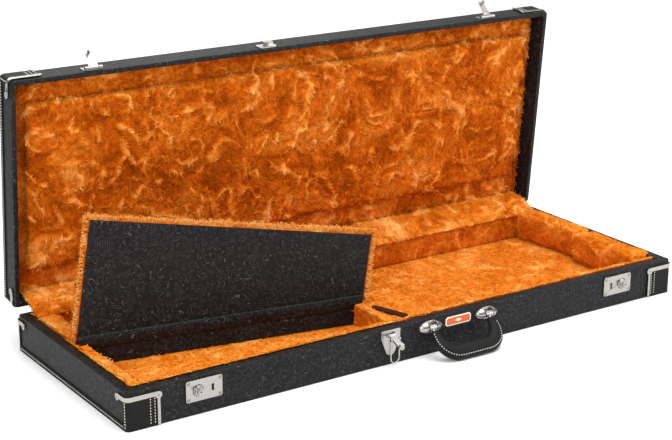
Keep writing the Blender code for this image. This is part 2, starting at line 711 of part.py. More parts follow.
def draw_bail(axis_y, lever_axis):
    """Closed wire loop with an eye at each upper end, always hanging from the lever's stud."""
    pivot = (LATCH_X, axis_y, LEVER_Z - BAIL_PIVOT)
    bail_axis = make_axis("bail_axis", pivot, (LEVER_OPEN, 0, 0), lever_axis)
    half = BAIL_WIDTH / 2
    bend = half * 0.9
    top = -BAIL_EYE / 2
    path = [(-half, top), (-half, -BAIL_LENGTH + bend)]
    path += [(x, y) for x, y in arc((0, -BAIL_LENGTH + bend), half, 180, 360, 8)][1:-1]
    path += [(half, -BAIL_LENGTH + bend), (half, top)]
    curve = bpy.data.curves.new("draw_bail", "CURVE")
    curve.dimensions = "3D"
    curve.bevel_depth = BAIL_WIRE
    curve.bevel_resolution = 1
    curve.use_fill_caps = True
    spline = curve.splines.new("POLY")
    spline.points.add(len(path) - 1)
    for control, (x, z) in zip(spline.points, path):
        control.co = (x, 0, z, 1)
    bail = as_mesh(add_piece("draw_bail", curve, "nickel", pivot, bail_axis))
    for label, shift in (("a", -half), ("b", half)):
        at = (pivot[0] + shift, pivot[1], pivot[2])
        eye = rod(f"draw_bail_eye_{label}", BAIL_EYE, 2 * BAIL_WIRE, "nickel", at, bail_axis, ALONG_X, 12)
        combine(bail, "UNION", eye)
    bore = rod("draw_bail_bore", LEVER_STUD + GAP, 2 * BAIL_WIDTH, "nickel", pivot, bail_axis, ALONG_X, 10)
    return combine(bail, "DIFFERENCE", bore)


def lid_catch(lid_axis):
    """Plate above the latch with a hook that opens upwards, for the bail's cross bar."""
    low_z = LID_Z + LATCH_TOP_DROP
    sheet_y = FRONT_Y - GAP - LATCH_SHEET / 2
    plate_at = (LATCH_X, sheet_y, low_z + CATCH_HEIGHT / 2)
    shape = rounded_rectangle(CATCH_WIDTH, CATCH_HEIGHT, CATCH_CORNER)
    plate = as_mesh(outline("lid_catch", shape, LATCH_SHEET, "nickel", plate_at, lid_axis, OUT_FRONT))
    half = CATCH_WIDTH * 0.27
    out_y = FRONT_Y - GAP - CATCH_HOOK
    arm_low = (LATCH_X - half, out_y, low_z + CATCH_ARM_UP)
    arm_high = (LATCH_X + half, sheet_y, low_z + CATCH_ARM_UP + CATCH_ARM)
    arm = box("lid_catch_arm", arm_low, arm_high, "nickel", lid_axis)
    lip_y = out_y - GAP / 2
    lip_z = low_z + CATCH_ARM_UP + CATCH_ARM / 2
    lip_low = (LATCH_X - half * 0.95, lip_y, lip_z)
    lip_high = (LATCH_X + half * 0.95, lip_y + CATCH_ARM, lip_z + CATCH_LIP - MM)
    lip = box("lid_catch_lip", lip_low, lip_high, "nickel", lid_axis)
    return combine(plate, "UNION", arm, lip)


# ---- hinges ----
def hinge_leaf(name, centre_x, direction, spans, parent=None):
    """One leaf on the rear face, below the axis (-1) or above it (+1), with its knuckles and screws."""
    near = HINGE_LEAF_OFFSET
    far = near + HINGE_LEAF_HEIGHT
    low_z, high_z = sorted((BASE_HEIGHT + direction * near, BASE_HEIGHT + direction * far))
    leaf_y = REAR_Y + GAP + SHEET_METAL / 2
    low = (centre_x - HINGE_WIDTH / 2, leaf_y - SHEET_METAL / 2, low_z)
    high = (centre_x + HINGE_WIDTH / 2, leaf_y + SHEET_METAL / 2, high_z)
    leaf = box(name, low, high, "nickel", parent)
    extras = []
    for number, (start, end) in enumerate(spans):
        middle = (centre_x + (start + end) / 2, LID_AXIS.y, BASE_HEIGHT)
        tube_name = f"{name}_tube_{number}"
        extras.append(rod(tube_name, KNUCKLE_RADIUS, end - start, "nickel", middle, parent, ALONG_X, 12))
        web_ends = (BASE_HEIGHT + direction * HINGE_WEB_OFFSET, BASE_HEIGHT + direction * (near + MM))
        web_low_z, web_high_z = sorted(web_ends)
        web_low = (centre_x + start + GAP, leaf_y, web_low_z)
        web_high = (centre_x + end - GAP, LID_AXIS.y, web_high_z)
        extras.append(box(f"{name}_web_{number}", web_low, web_high, "nickel", parent))
    screw_z = BASE_HEIGHT + direction * (near + HINGE_LEAF_HEIGHT * 0.6)
    for step in (-1, 0, 1):
        at = (centre_x + step * HINGE_WIDTH * 0.34, leaf_y, screw_z)
        extras.append(screw(f"{name}_screw_{step}", at, OUT_REAR, SHEET_METAL, parent))
    return combine(leaf, "UNION", *extras)


def hinges(lid_axis):
    """Three hinges; each pin is staked in the base leaf's two knuckles and turns in the lid leaf's one."""
    middle = HINGE_WIDTH / 6
    edge = HINGE_WIDTH / 2
    for side, sign in (("left", -1), ("middle", 0), ("right", 1)):
        centre_x = sign * HINGE_SPACING
        at = (centre_x, LID_AXIS.y, BASE_HEIGHT)
        spans = ((-edge, -middle - GAP), (middle + GAP, edge))
        fixed = hinge_leaf(f"hinge_leaf_base_{side}", centre_x, -1, spans)
        pin = rod(f"hinge_pin_{side}", PIN_RADIUS, HINGE_WIDTH * 0.9, "nickel", at, None, ALONG_X, 12)
        combine(fixed, "UNION", pin)
        turning = hinge_leaf(f"hinge_leaf_lid_{side}", centre_x, 1, ((-middle, middle),), lid_axis)
        bore = rod(f"hinge_bore_{side}", PIN_RADIUS + GAP, HINGE_WIDTH, "nickel", at, lid_axis, ALONG_X, 12)
        combine(turning, "DIFFERENCE", bore)


# ---- handle ----
def handle_bracket(side, sign):
    """Oval dome slotted for the handle's eye, with the pin across the slot."""
    centre = Vector((HANDLE_X + sign * HANDLE_SPACING / 2, FRONT_Y - GAP, HANDLE_Z))
    mesh = bpy.data.meshes.new(f"handle_bracket_{side}")
    form = bmesh.new()
    size = Matrix.Diagonal((BRACKET_LENGTH / 2, BRACKET_DOME, BRACKET_HEIGHT / 2, 1))
    turn = Matrix.Rotation(math.pi / 2, 4, "X")
    bmesh.ops.create_uvsphere(form, u_segments=20, v_segments=10, radius=1, matrix=size @ turn)
    form.to_mesh(mesh)
    form.free()
    mesh.shade_smooth()
    dome = add_piece(f"handle_bracket_{side}", mesh, "nickel", centre)
    big = BRACKET_LENGTH
    behind_low = centre + Vector((-big, 0, -big))
    behind = box(f"{dome.name}_behind", behind_low, centre + Vector((big, big, big)), "nickel")
    half_slot = BRACKET_SLOT / 2
    slot_low = centre + Vector((-half_slot, -big, -big))
    slot_high = centre + Vector((half_slot, -BRACKET_FLOOR, big))
    slot = box(f"{dome.name}_slot", slot_low, slot_high, "nickel")
    combine(dome, "DIFFERENCE", behind, slot)
    pin_y = FRONT_Y - HANDLE_AXIS_OUT
    pin_length = BRACKET_SLOT + 2 * BRACKET_PIN_SEAT
    pin_at = (centre.x, pin_y, HANDLE_Z)
    pin = rod(f"{dome.name}_pin", BRACKET_PIN, pin_length, "nickel", pin_at, None, ALONG_X, 12)
    return combine(dome, "UNION", pin)


def handle_grip():
    """Flattened leather tube bent to a U, fat along the grip, with a steel eye in each leg."""
    axis_at = (HANDLE_X, FRONT_Y - HANDLE_AXIS_OUT, HANDLE_Z)
    axis = make_axis("handle_axis", axis_at, (-HANDLE_REST, 0, 0))
    half = HANDLE_SPACING / 2
    bend = HANDLE_BEND
    leg_top = -HANDLE_EYE_RADIUS - HANDLE_LEG_GAP
    path = [(-half, leg_top), (-half, -HANDLE_REACH + bend)]
    path += arc((-half + bend, -HANDLE_REACH + bend), bend, 180, 270, 5)[1:]
    path += [(x * half / 4, -HANDLE_REACH) for x in (-1, 0, 1)]
    path += arc((half - bend, -HANDLE_REACH + bend), bend, 270, 360, 5)
    path += [(half, leg_top)]
    curve = bpy.data.curves.new("handle_grip", "CURVE")
    curve.dimensions = "3D"
    curve.bevel_depth = HANDLE_GRIP_RADIUS
    curve.bevel_resolution = 2
    curve.use_fill_caps = True
    spline = curve.splines.new("POLY")
    spline.points.add(len(path) - 1)
    thin = HANDLE_LEG_RADIUS / HANDLE_GRIP_RADIUS
    for control, (x, z) in zip(spline.points, path):
        down = min(1, (z + HANDLE_EYE_RADIUS) / (HANDLE_EYE_RADIUS - HANDLE_REACH))
        control.co = (x, 0, z, 1)
        control.radius = thin + (1 - thin) * math.sin(down * math.pi / 2) ** 2
    grip = add_piece("handle_grip", curve, "leather", axis_at, axis)
    grip.scale = (1, HANDLE_FLATNESS, 1)
    grip = as_mesh(grip)
    apply_scale(grip)
    for label, sign in (("left", -1), ("right", 1)):
        at = (HANDLE_X + sign * half, axis_at[1], HANDLE_Z)
        handle_eye(label, at, axis, grip)
    return grip


def handle_eye(side, at, axis, grip):
    """The flat end of the handle's steel core, which comes out of the leather as an eye round the pin."""
    width = BRACKET_SLOT - 2 * HANDLE_EYE_SIDE_GAP
    eye = rod(f"handle_eye_{side}", HANDLE_EYE_RADIUS, width, "nickel", at, axis, ALONG_X, 16)
    half_shank = width * 0.4
    shank_end = at[2] - HANDLE_EYE_RADIUS - HANDLE_SHANK_SEAT
    low = (at[0] - half_shank, at[1] - HANDLE_SHANK / 2, shank_end)
    high = (at[0] + half_shank, at[1] + HANDLE_SHANK / 2, at[2] - BRACKET_PIN - GAP)
    shank = box(f"{eye.name}_shank", low, high, "nickel", axis)
    bore = rod(f"{eye.name}_bore", BRACKET_PIN + GAP, 2 * BRACKET_LENGTH, "nickel", at, axis, ALONG_X, 12)
    combine(grip, "UNION", eye, shank)
    return combine(grip, "DIFFERENCE", bore)


def apply_scale(item):
    item.data.transform(Matrix.Diagonal((*item.scale, 1)))
    item.scale = (1, 1, 1)


def badge():
    """Plain name-plate blank between the handle's brackets."""
    shape = rounded_rectangle(BADGE.x, BADGE.y, SMALL_CORNER)
    at = (HANDLE_X, FRONT_Y - GAP - BADGE_SHEET / 2, HANDLE_Z)
    return outline("badge_plate", shape, BADGE_SHEET, "badge", at, None, OUT_FRONT)


# ---- padding ----
def pad(name, low, high, parent=None):
    return soften(box(name, low, high, "plush", parent), PAD_EDGE)


def pad_outline(name, points, low_z, high_z, material="plush", edge=PAD_EDGE):
    """A padded block with a plan outline, softened along every edge."""
    block = outline(name, points, high_z - low_z, material, (0, 0, (low_z + high_z) / 2))
    block = as_mesh(block)
    return soften(block, edge) if edge else block


def fold_y(x):
    """Y of the compartment's fold line at a given X."""
    return FOLD_LEFT.y + (x - FOLD_LEFT.x) * math.tan(FOLD_ANGLE)


def ledge_y(x):
    """Y of the inner edge of the ledge along the compartment's front."""
    left_x = -INNER_X + COMPARTMENT_LEFT_WALL
    share = (x - left_x) / (FOLD_RIGHT.x - left_x)
    return -INNER_Y + LEDGE_LEFT + (LEDGE_RIGHT - LEDGE_LEFT) * share


def head_start_y():
    """Y where the head block may start, clear of the open cover's back at rim height."""
    cover = (COVER_BOARD + COVER_PLUSH + 3 * GAP) / math.cos(FOLD_ANGLE)
    lean = FOLD_BELOW_RIM * math.tan(COMPARTMENT_OPEN - math.pi / 2)
    rear_wall = COMPARTMENT_WALL / math.cos(FOLD_ANGLE)
    return FOLD_LEFT.y + max(cover + lean, rear_wall) + GAP


def base_padding():
    inner_x = INNER_X - GAP
    inner_y = INNER_Y - GAP
    top = BASE_HEIGHT - PAD_BELOW_RIM
    rear_face = inner_y - SIDE_PAD
    front_face = -inner_y + SIDE_PAD
    right = FOLD_RIGHT.x
    pad("bed_pad", (-inner_x, -inner_y, FLOOR_Z), (inner_x, inner_y, BED_Z))
    pad("rear_bolster", (-inner_x, rear_face, PAD_Z), (inner_x, inner_y, BASE_HEIGHT + REAR_PAD_RISE))
    pad("front_bolster", (right + GAP, -inner_y, PAD_Z), (inner_x, front_face, top))
    rear_end = [(inner_x - END_PAD_REAR, rear_face - GAP), (inner_x - END_PAD_MIDDLE, GAP)]
    rear_end += [(inner_x, GAP), (inner_x, rear_face - GAP)]
    pad_outline("end_bolster_rear", rear_end, PAD_Z, top + PAD_BELOW_RIM)
    front_end = [(inner_x - END_PAD_FRONT, -GAP), (inner_x - END_PAD_FRONT, front_face + GAP)]
    front_end += [(inner_x, front_face + GAP), (inner_x, -GAP)]
    pad_outline("end_bolster_front", front_end, PAD_Z, top + PAD_BELOW_RIM)
    block_top = PAD_Z + NECK_BLOCK_HEIGHT
    block_high = (NECK_BLOCK_END_X, NECK_BLOCK_REAR_Y, block_top)
    pad("neck_block", (right + GAP, front_face + GAP, PAD_Z), block_high)
    head_x = -inner_x + HEAD_PAD
    left_x = -inner_x + COMPARTMENT_LEFT_WALL
    corner_y = head_start_y() + GAP
    head = [(-inner_x, corner_y), (left_x, corner_y), (head_x, corner_y), (head_x, rear_face - GAP)]
    head += [(-inner_x, rear_face - GAP)]
    pad_outline("head_block", head, PAD_Z, top)
    return block_top


def compartment():
    """Accessory pocket on the bed: rear wall under the fold, two end walls and the front ledge."""
    inner_x = INNER_X - GAP
    inner_y = INNER_Y - GAP
    top = FOLD_Z - GAP
    left_x = -inner_x + COMPARTMENT_LEFT_WALL
    right_x = FOLD_RIGHT.x - COMPARTMENT_RIGHT_WALL
    back = COMPARTMENT_WALL / math.cos(FOLD_ANGLE)
    left_back = head_start_y()
    left_wall = [(-inner_x, -inner_y), (left_x, -inner_y), (left_x, left_back), (-inner_x, left_back)]
    pad_outline("compartment_left_wall", left_wall, PAD_Z, top, "plush", PAD_EDGE / 2)
    rear = [(left_x + GAP, fold_y(left_x + GAP)), (FOLD_RIGHT.x, FOLD_RIGHT.y)]
    rear += [(FOLD_RIGHT.x, FOLD_RIGHT.y + back), (left_x + GAP, fold_y(left_x + GAP) + back)]
    pad_outline("compartment_rear_wall", rear, PAD_Z, top, "vinyl", 0)
    right_wall = [(right_x, -inner_y), (FOLD_RIGHT.x, -inner_y), (FOLD_RIGHT.x, fold_y(FOLD_RIGHT.x) - GAP)]
    right_wall += [(right_x, fold_y(right_x) - GAP)]
    pad_outline("compartment_right_wall", right_wall, PAD_Z, top, "plush", 0)
    ledge = [(left_x + GAP, -inner_y), (right_x - GAP, -inner_y), (right_x - GAP, ledge_y(right_x - GAP))]
    ledge += [(left_x + GAP, ledge_y(left_x + GAP))]
    pad_outline("compartment_front_ledge", ledge, PAD_Z, top, "plush", 0)


def compartment_cover():
    """The compartment's own lid: a vinyl-faced board with plush on its other side."""
    middle = (FOLD_LEFT + FOLD_RIGHT) / 2
    axis_at = Vector((middle.x, middle.y, FOLD_Z))
    axis = make_axis("compartment_axis", axis_at, (-COMPARTMENT_OPEN, 0, FOLD_ANGLE))
    front_y = -INNER_Y + COVER_FRONT_GAP
    plan = [FOLD_LEFT, FOLD_RIGHT, Vector((FOLD_RIGHT.x, front_y)), Vector((FOLD_LEFT.x, front_y))]
    turned = [Matrix.Rotation(-FOLD_ANGLE, 2) @ (point - middle) for point in plan]
    shape = [(point.x, point.y) for point in turned]
    shape[0] = (shape[0][0], -FOLD_GAP)
    shape[1] = (shape[1][0], -FOLD_GAP)
    shape = list(reversed(shape))
    board_z = FOLD_Z + GAP + COVER_BOARD / 2
    plush_z = board_z + COVER_BOARD / 2 + GAP + COVER_PLUSH / 2
    for name, thickness, height, material in (("compartment_lid_board", COVER_BOARD, board_z, "vinyl"),
                                              ("compartment_lid_plush", COVER_PLUSH, plush_z, "plush")):
        outline(name, shape, thickness, material, (axis_at.x, axis_at.y, height), axis)


def pull_tab(rest_z):
    """Loose leather tab with a slit, lying on the neck block."""
    shape = rounded_rectangle(TAB_LENGTH, TAB_WIDTH, TAB_WIDTH * 0.4)
    centre = Vector((FOLD_RIGHT.x + TAB_LENGTH * 0.42, fold_y(FOLD_RIGHT.x) - TAB_LENGTH * 0.54))
    at = (centre.x, centre.y, rest_z + GAP + TAB_THICKNESS / 2)
    tab = as_mesh(outline("pull_tab", shape, TAB_THICKNESS, "brown_leather", at, None, (0, 0, TAB_ANGLE)))
    slit_along = Vector((math.cos(TAB_ANGLE), math.sin(TAB_ANGLE))) * -TAB_LENGTH * 0.22
    slit_at = (at[0] + slit_along.x, at[1] + slit_along.y, at[2])
    slit = add_piece("pull_tab_slit", box_mesh("slit", (*TAB_SLIT, 4 * TAB_THICKNESS)), "brown_leather",
                     slit_at, None, (0, 0, TAB_ANGLE))
    return combine(tab, "DIFFERENCE", slit)


def lid_padding(lid_axis):
    inner_x = LENGTH / 2 - LID_WALL - GAP
    inner_y = WIDTH / 2 - LID_WALL - GAP
    panel_z = LID_Z + LID_HEIGHT - PANEL
    lining_z = panel_z - GAP - LID_LINING
    low = (-inner_x, -inner_y, lining_z)
    box("lid_lining", low, (inner_x, inner_y, panel_z - GAP), "plush", lid_axis)
    pad_x = LENGTH / 2 - LID_PAD_END_MARGIN
    pad_low = (-pad_x, FRONT_Y + LID_PAD_FRONT_MARGIN, lining_z - GAP - LID_PAD)
    pad_high = (pad_x, REAR_Y - LID_PAD_HINGE_MARGIN, lining_z - GAP)
    pad("lid_raised_pad", pad_low, pad_high, lid_axis)


# ---- assembly ----
def base():
    panel("base_floor_panel", 0, PANEL)
    walls = tray_walls("base", BASE_WALL, FLOOR_Z, BASE_HEIGHT)
    strip_high = BASE_HEIGHT - CLAMP_DROP
    leather_high = BASE_HEIGHT - LEATHER_TOP_DROP + CLAMP_STRIP
    for side, sign in (("left", -1), ("right", 1)):
        leather_end(f"leather_end_base_{side}", sign, GAP, leather_high, LEATHER_FLANGE + GAP, BASE_HEIGHT)
    corner_clamps("corner_clamp_base", strip_high - CLAMP_STRIP, strip_high, GAP)
    lock("left", -1, walls["front"])
    lock("right", 1, walls["front"])
    draw_latch()
    for side, sign in (("left", -1), ("right", 1)):
        handle_bracket(side, sign)
    handle_grip()
    badge()
    block_top = base_padding()
    compartment()
    compartment_cover()
    pull_tab(block_top)


def lid():
    lid_axis = make_axis("lid_axis", LID_AXIS, (-LID_OPEN, 0, 0))
    top = LID_Z + LID_HEIGHT
    panel("lid_panel", top - PANEL, top, lid_axis)
    tray_walls("lid", LID_WALL, LID_Z, top - PANEL - GAP, lid_axis)
    strip_low = LID_Z + CLAMP_DROP
    leather_low = LID_Z + LEATHER_TOP_DROP - CLAMP_STRIP
    window_top = top - LEATHER_FLANGE
    for side, sign in (("left", -1), ("right", 1)):
        leather_end(f"leather_end_lid_{side}", sign, leather_low, top - GAP, 0, window_top, lid_axis)
    corner_clamps("corner_clamp_lid", strip_low, strip_low + CLAMP_STRIP, top - GAP, lid_axis)
    lid_padding(lid_axis)
    for side, sign in (("left", -1), ("right", 1)):
        hasp(side, sign, lid_axis)
    lid_catch(lid_axis)
    hinges(lid_axis)


base()
lid()
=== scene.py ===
# %% [markdown]
# # A plush-lined guitar case
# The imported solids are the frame: they give every size and every hinge. This lesson dresses
# them. Each cell makes one thing that a case maker would recognise, and prints what it made.

# %% Load the frame
import json
import math

import bmesh
import bpy
import numpy as np
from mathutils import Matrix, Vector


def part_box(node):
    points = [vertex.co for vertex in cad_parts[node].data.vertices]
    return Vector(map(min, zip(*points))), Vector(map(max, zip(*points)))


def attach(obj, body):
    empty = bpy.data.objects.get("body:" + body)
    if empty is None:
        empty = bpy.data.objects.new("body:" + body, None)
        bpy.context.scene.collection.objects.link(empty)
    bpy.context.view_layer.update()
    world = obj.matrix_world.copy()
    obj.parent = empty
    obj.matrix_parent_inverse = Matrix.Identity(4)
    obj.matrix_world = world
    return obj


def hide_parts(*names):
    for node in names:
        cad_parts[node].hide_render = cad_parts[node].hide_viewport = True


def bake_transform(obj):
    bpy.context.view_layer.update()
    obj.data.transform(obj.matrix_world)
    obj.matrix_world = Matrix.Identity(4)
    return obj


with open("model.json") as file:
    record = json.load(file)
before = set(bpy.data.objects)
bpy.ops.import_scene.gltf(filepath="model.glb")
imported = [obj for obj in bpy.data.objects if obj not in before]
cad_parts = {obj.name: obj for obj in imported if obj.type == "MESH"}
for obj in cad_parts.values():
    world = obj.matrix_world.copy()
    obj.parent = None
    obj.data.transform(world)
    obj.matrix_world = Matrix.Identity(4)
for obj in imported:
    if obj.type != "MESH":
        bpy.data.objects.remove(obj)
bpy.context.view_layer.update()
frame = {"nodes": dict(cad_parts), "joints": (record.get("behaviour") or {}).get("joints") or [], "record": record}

MM = 0.001

# %% [markdown]
# ## Sizes read from the solids
# A part should land where its solid is, so nothing is typed twice: the shell's outline, the rims
# and the hinge come from the boxes and joints of the frame.

# %% Read the sizes
def corners(node):
    """Lowest and highest corner of a solid, as two numpy arrays."""
    low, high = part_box(node)
    return np.array(low), np.array(high)


JOINTS = {joint["name"]: joint for joint in frame["joints"]}
BODY_OF = {name: body for body, names in frame["record"]["behaviour"]["bodies"].items() for name in names}
HINGE = np.array(JOINTS["lid_hinge"]["pos_m"])
OPEN = math.radians(JOINTS["lid_hinge"]["range_deg"][1])
_, floor_high = corners("base_floor_panel")
front_low, front_high = corners("base_front_wall")
HALF_LENGTH = floor_high[0]
HALF_WIDTH = floor_high[1]
BASE_TOP = front_high[2]
BASE_WALL = front_high[1] - front_low[1]


def turn_lid(points, angle):
    """Turns points about the lid's hinge line: y' = y cos + z sin and z' = z cos - y sin."""
    turned = np.array(points, float)
    y, z = turned[..., 1] - HINGE[1], turned[..., 2] - HINGE[2]
    turned[..., 1] = HINGE[1] + y * math.cos(angle) + z * math.sin(angle)
    turned[..., 2] = HINGE[2] - y * math.sin(angle) + z * math.cos(angle)
    return turned


def lift(points):
    """From the shut case to the open lid."""
    return turn_lid(points, OPEN)


def shut(points):
    """The inverse of lift: from the open lid back to the shut case."""
    return turn_lid(points, -OPEN)


def lift_direction(direction):
    """Turns a direction with the lid, without moving it."""
    return lift(np.array(direction) + HINGE) - HINGE


def read_points(mesh):
    """All points of a mesh, one row each."""
    points = np.empty(len(mesh.vertices) * 3)
    mesh.vertices.foreach_get("co", points)
    return points.reshape(-1, 3)


def shut_corners(node):
    """Box of a lid solid in shut-case coordinates."""
    points = shut(read_points(frame["nodes"][node].data))
    return points.min(0), points.max(0)


def own_corners(node):
    """Box of a solid in the shut case, on whichever half it rides."""
    return shut_corners(node) if BODY_OF[node] == "lid" else corners(node)


lid_panel_low, lid_panel_high = shut_corners("lid_panel")
lid_wall_low, lid_wall_high = shut_corners("lid_front_wall")
LID_RIM = lid_wall_low[2]
LID_TOP = lid_panel_high[2]
LID_WALL = lid_wall_high[1] - lid_wall_low[1]
print("half length and width:", HALF_LENGTH, HALF_WIDTH)
print("lid from", round(LID_RIM, 4), "to", round(LID_TOP, 4))

# %% [markdown]
# ## Helpers for surfaces
# A surface is a grid of points. One helper joins the grid with quads, one writes whole arrays into
# a mesh, which is far faster than point by point, and one wraps the mesh in an object that rides on
# a body of the case. Small ones read and write points, weld a shell and round its edges.

# %% Grids, meshes and pieces
FLAT_WITHIN = math.radians(1)


def grid_faces(rows, columns, loop_rows=False, loop_columns=False):
    """Quads between neighbours of a rows x columns grid; a looped side joins back to its start."""
    row = np.arange(rows if loop_rows else rows - 1)[:, None]
    column = np.arange(columns if loop_columns else columns - 1)[None, :]
    next_row = (row + 1) % rows
    next_column = (column + 1) % columns
    quads = [row * columns + column, next_row * columns + column,
             next_row * columns + next_column, row * columns + next_column]
    return np.stack(np.broadcast_arrays(*quads), -1).reshape(-1, 4)


def make_mesh(name, points, *face_sets):
    """Writes arrays into a new mesh; the faces of one set have the same number of corners."""
    mesh = bpy.data.meshes.new(name)
    sides = np.concatenate([np.full(len(faces), faces.shape[1]) for faces in face_sets])
    loops = np.concatenate([faces.ravel() for faces in face_sets]).astype(np.int32)
    starts = np.concatenate(([0], np.cumsum(sides)[:-1])).astype(np.int32)
    mesh.vertices.add(len(points))
    mesh.vertices.foreach_set("co", np.asarray(points, np.float32).ravel())
    mesh.loops.add(len(loops))
    mesh.loops.foreach_set("vertex_index", loops)
    mesh.polygons.add(len(sides))
    mesh.polygons.foreach_set("loop_start", starts)
    mesh.update(calc_edges=True)
    return mesh


def tidy_mesh(mesh, merge=1e-6, flat=False):
    """Merges coinciding points and turns every face of the closed shell outwards.

    A shell whose signed volume is negative is inside out, so its faces are reversed.
    """
    form = bmesh.new()
    form.from_mesh(mesh)
    bmesh.ops.remove_doubles(form, verts=form.verts, dist=merge)
    bmesh.ops.dissolve_degenerate(form, edges=form.edges, dist=merge)
    if flat:
        bmesh.ops.dissolve_limit(form, angle_limit=FLAT_WITHIN, verts=form.verts, edges=form.edges)
    bmesh.ops.recalc_face_normals(form, faces=form.faces)
    if form.calc_volume(signed=True) < 0:
        bmesh.ops.reverse_faces(form, faces=form.faces)
    form.to_mesh(mesh)
    form.free()
    return mesh


def tube(name, points):
    """Closed tube from rings of points, one row to a ring, with a flat cap on each end."""
    rings, around = points.shape[:2]
    caps = np.stack([np.arange(around), np.arange(around) + (rings - 1) * around])
    sides = grid_faces(rings, around, loop_columns=True)
    return tidy_mesh(make_mesh(name, points.reshape(-1, 3), sides, caps))


def read_normals(mesh):
    """The normal at each point of a mesh."""
    normals = np.empty(len(mesh.vertices) * 3)
    mesh.vertex_normals.foreach_get("vector", normals)
    return normals.reshape(-1, 3)


def write_points(mesh, points):
    """Moves all points of a mesh at once."""
    mesh.vertices.foreach_set("co", np.asarray(points, np.float32).ravel())
    mesh.update()
    return mesh


def add_piece(name, mesh, material, body, replaces=(), sharp=40):
    """A finished mesh as an object that rides on a body and may stand for solids."""
    mesh.materials.clear()
    mesh.materials.append(material)
    mesh.shade_smooth()
    if sharp:
        mesh.set_sharp_from_angle(angle=math.radians(sharp))
    item = bpy.data.objects.new(name, mesh)
    bpy.context.scene.collection.objects.link(item)
    if body:
        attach(item, body)
    if replaces:
        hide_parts(*replaces)
    return item


def bevel(item, width, segments=2, angle=30):
    """Rounds the edges that are sharper than the angle, as tumbling or wear does."""
    edge = item.modifiers.new("Rounded edges", "BEVEL")
    edge.width = width
    edge.segments = segments
    edge.limit_method = "ANGLE"
    edge.angle_limit = math.radians(angle)
    edge.harden_normals = False
    return item


def node_copy(node):
    """The solid's own mesh, merged into one closed shell with flat faces made whole."""
    mesh = frame["nodes"][node].data.copy()
    mesh.name = node + "_copy"
    return tidy_mesh(mesh, 1e-5, flat=True)


print("helpers ready")

# %% [markdown]
# ## A helper for materials
# Colours are written as they look on a screen (sRGB hex) and turned linear by one function. One
# function adds a node and fills its inputs, so that a material reads like a recipe.

# %% Material helper
def linear(code):
    """sRGB hex to linear RGB with the standard's two-part curve."""
    values = np.array([int(code[i:i + 2], 16) for i in (1, 3, 5)]) / 255
    return tuple(np.where(values <= 0.04045, values / 12.92, ((values + 0.055) / 1.055) ** 2.4)) + (1.0,)


def new_material(name):
    """A material with its node tree and main shader, and the coordinates of the piece itself."""
    material = bpy.data.materials.new(name)
    material.use_nodes = True
    tree = material.node_tree
    return material, tree, tree.nodes["Principled BSDF"], node(tree, "TexCoord").outputs["Object"]


def fill(tree, made, **inputs):
    """Fills a node's inputs; a node given as a value stands for its first output."""
    for key, value in inputs.items():
        numbered = key[0] == "i" and key[1:].isdigit()
        socket = made.inputs[int(key[1:]) if numbered else key.replace("_", " ")]
        if isinstance(value, bpy.types.Node):
            value = value.outputs[0]
        if isinstance(value, bpy.types.NodeSocket):
            tree.links.new(value, socket)
        else:
            socket.default_value = value
    return made


def node(tree, kind, settings=None, **inputs):
    """Adds a node; settings are its properties, inputs are numbers, colours, outputs or nodes."""
    made = tree.nodes.new("ShaderNode" + kind)
    for key, value in (settings or {}).items():
        setattr(made, key, value)
    return fill(tree, made, **inputs)


def calculate(tree, operation, *values):
    """A math node: MULTIPLY_ADD is the first value times the second plus the third."""
    numbered = {f"i{k}": value for k, value in enumerate(values)}
    return node(tree, "Math", {"operation": operation}, **numbered)


def mottle(tree, place, size, detail=2.0, **more):
    """Smooth noise whose features are about that size."""
    return node(tree, "TexNoise", None, Vector=place, Scale=1 / size, Detail=detail, **more)


def ramp(tree, factor, *stops):
    """A colour ramp from (position, hex) stops."""
    made = node(tree, "ValToRGB", None, i0=factor)
    elements = made.color_ramp.elements
    while len(elements) < len(stops):
        elements.new(0.5)
    for element, (position, code) in zip(elements, stops):
        element.position = position
        element.color = linear(code)
    return made


def two_tone(tree, factor, dark, pale):
    """Dark in the hollows of a noise and pale on its hills."""
    return ramp(tree, factor, (0.3, dark), (0.7, pale))


print("black vinyl in linear light:", [round(v, 4) for v in linear("#242323")])

# %% [markdown]
# ## Tooled vinyl
# The shell is plywood wrapped in PVC-coated cloth, pressed with a swirling leaf pattern. Black vinyl
# has a soft sheen, and the pressed lines show because they catch light and are coloured a little paler.
# Contour lines of a slow noise give long curved strokes that never cross, like leaf veins, and a
# cell pattern gives the flower centres. Both are small, so they are bump and not mesh.

# %% Vinyl material
STROKE = 4 * MM
FLOWER = 34 * MM
PETAL = 0.42 * FLOWER
GRAIN = 0.9 * MM
CLOUD = 60 * MM
STROKES_PER_BEND = 150 * MM / STROKE


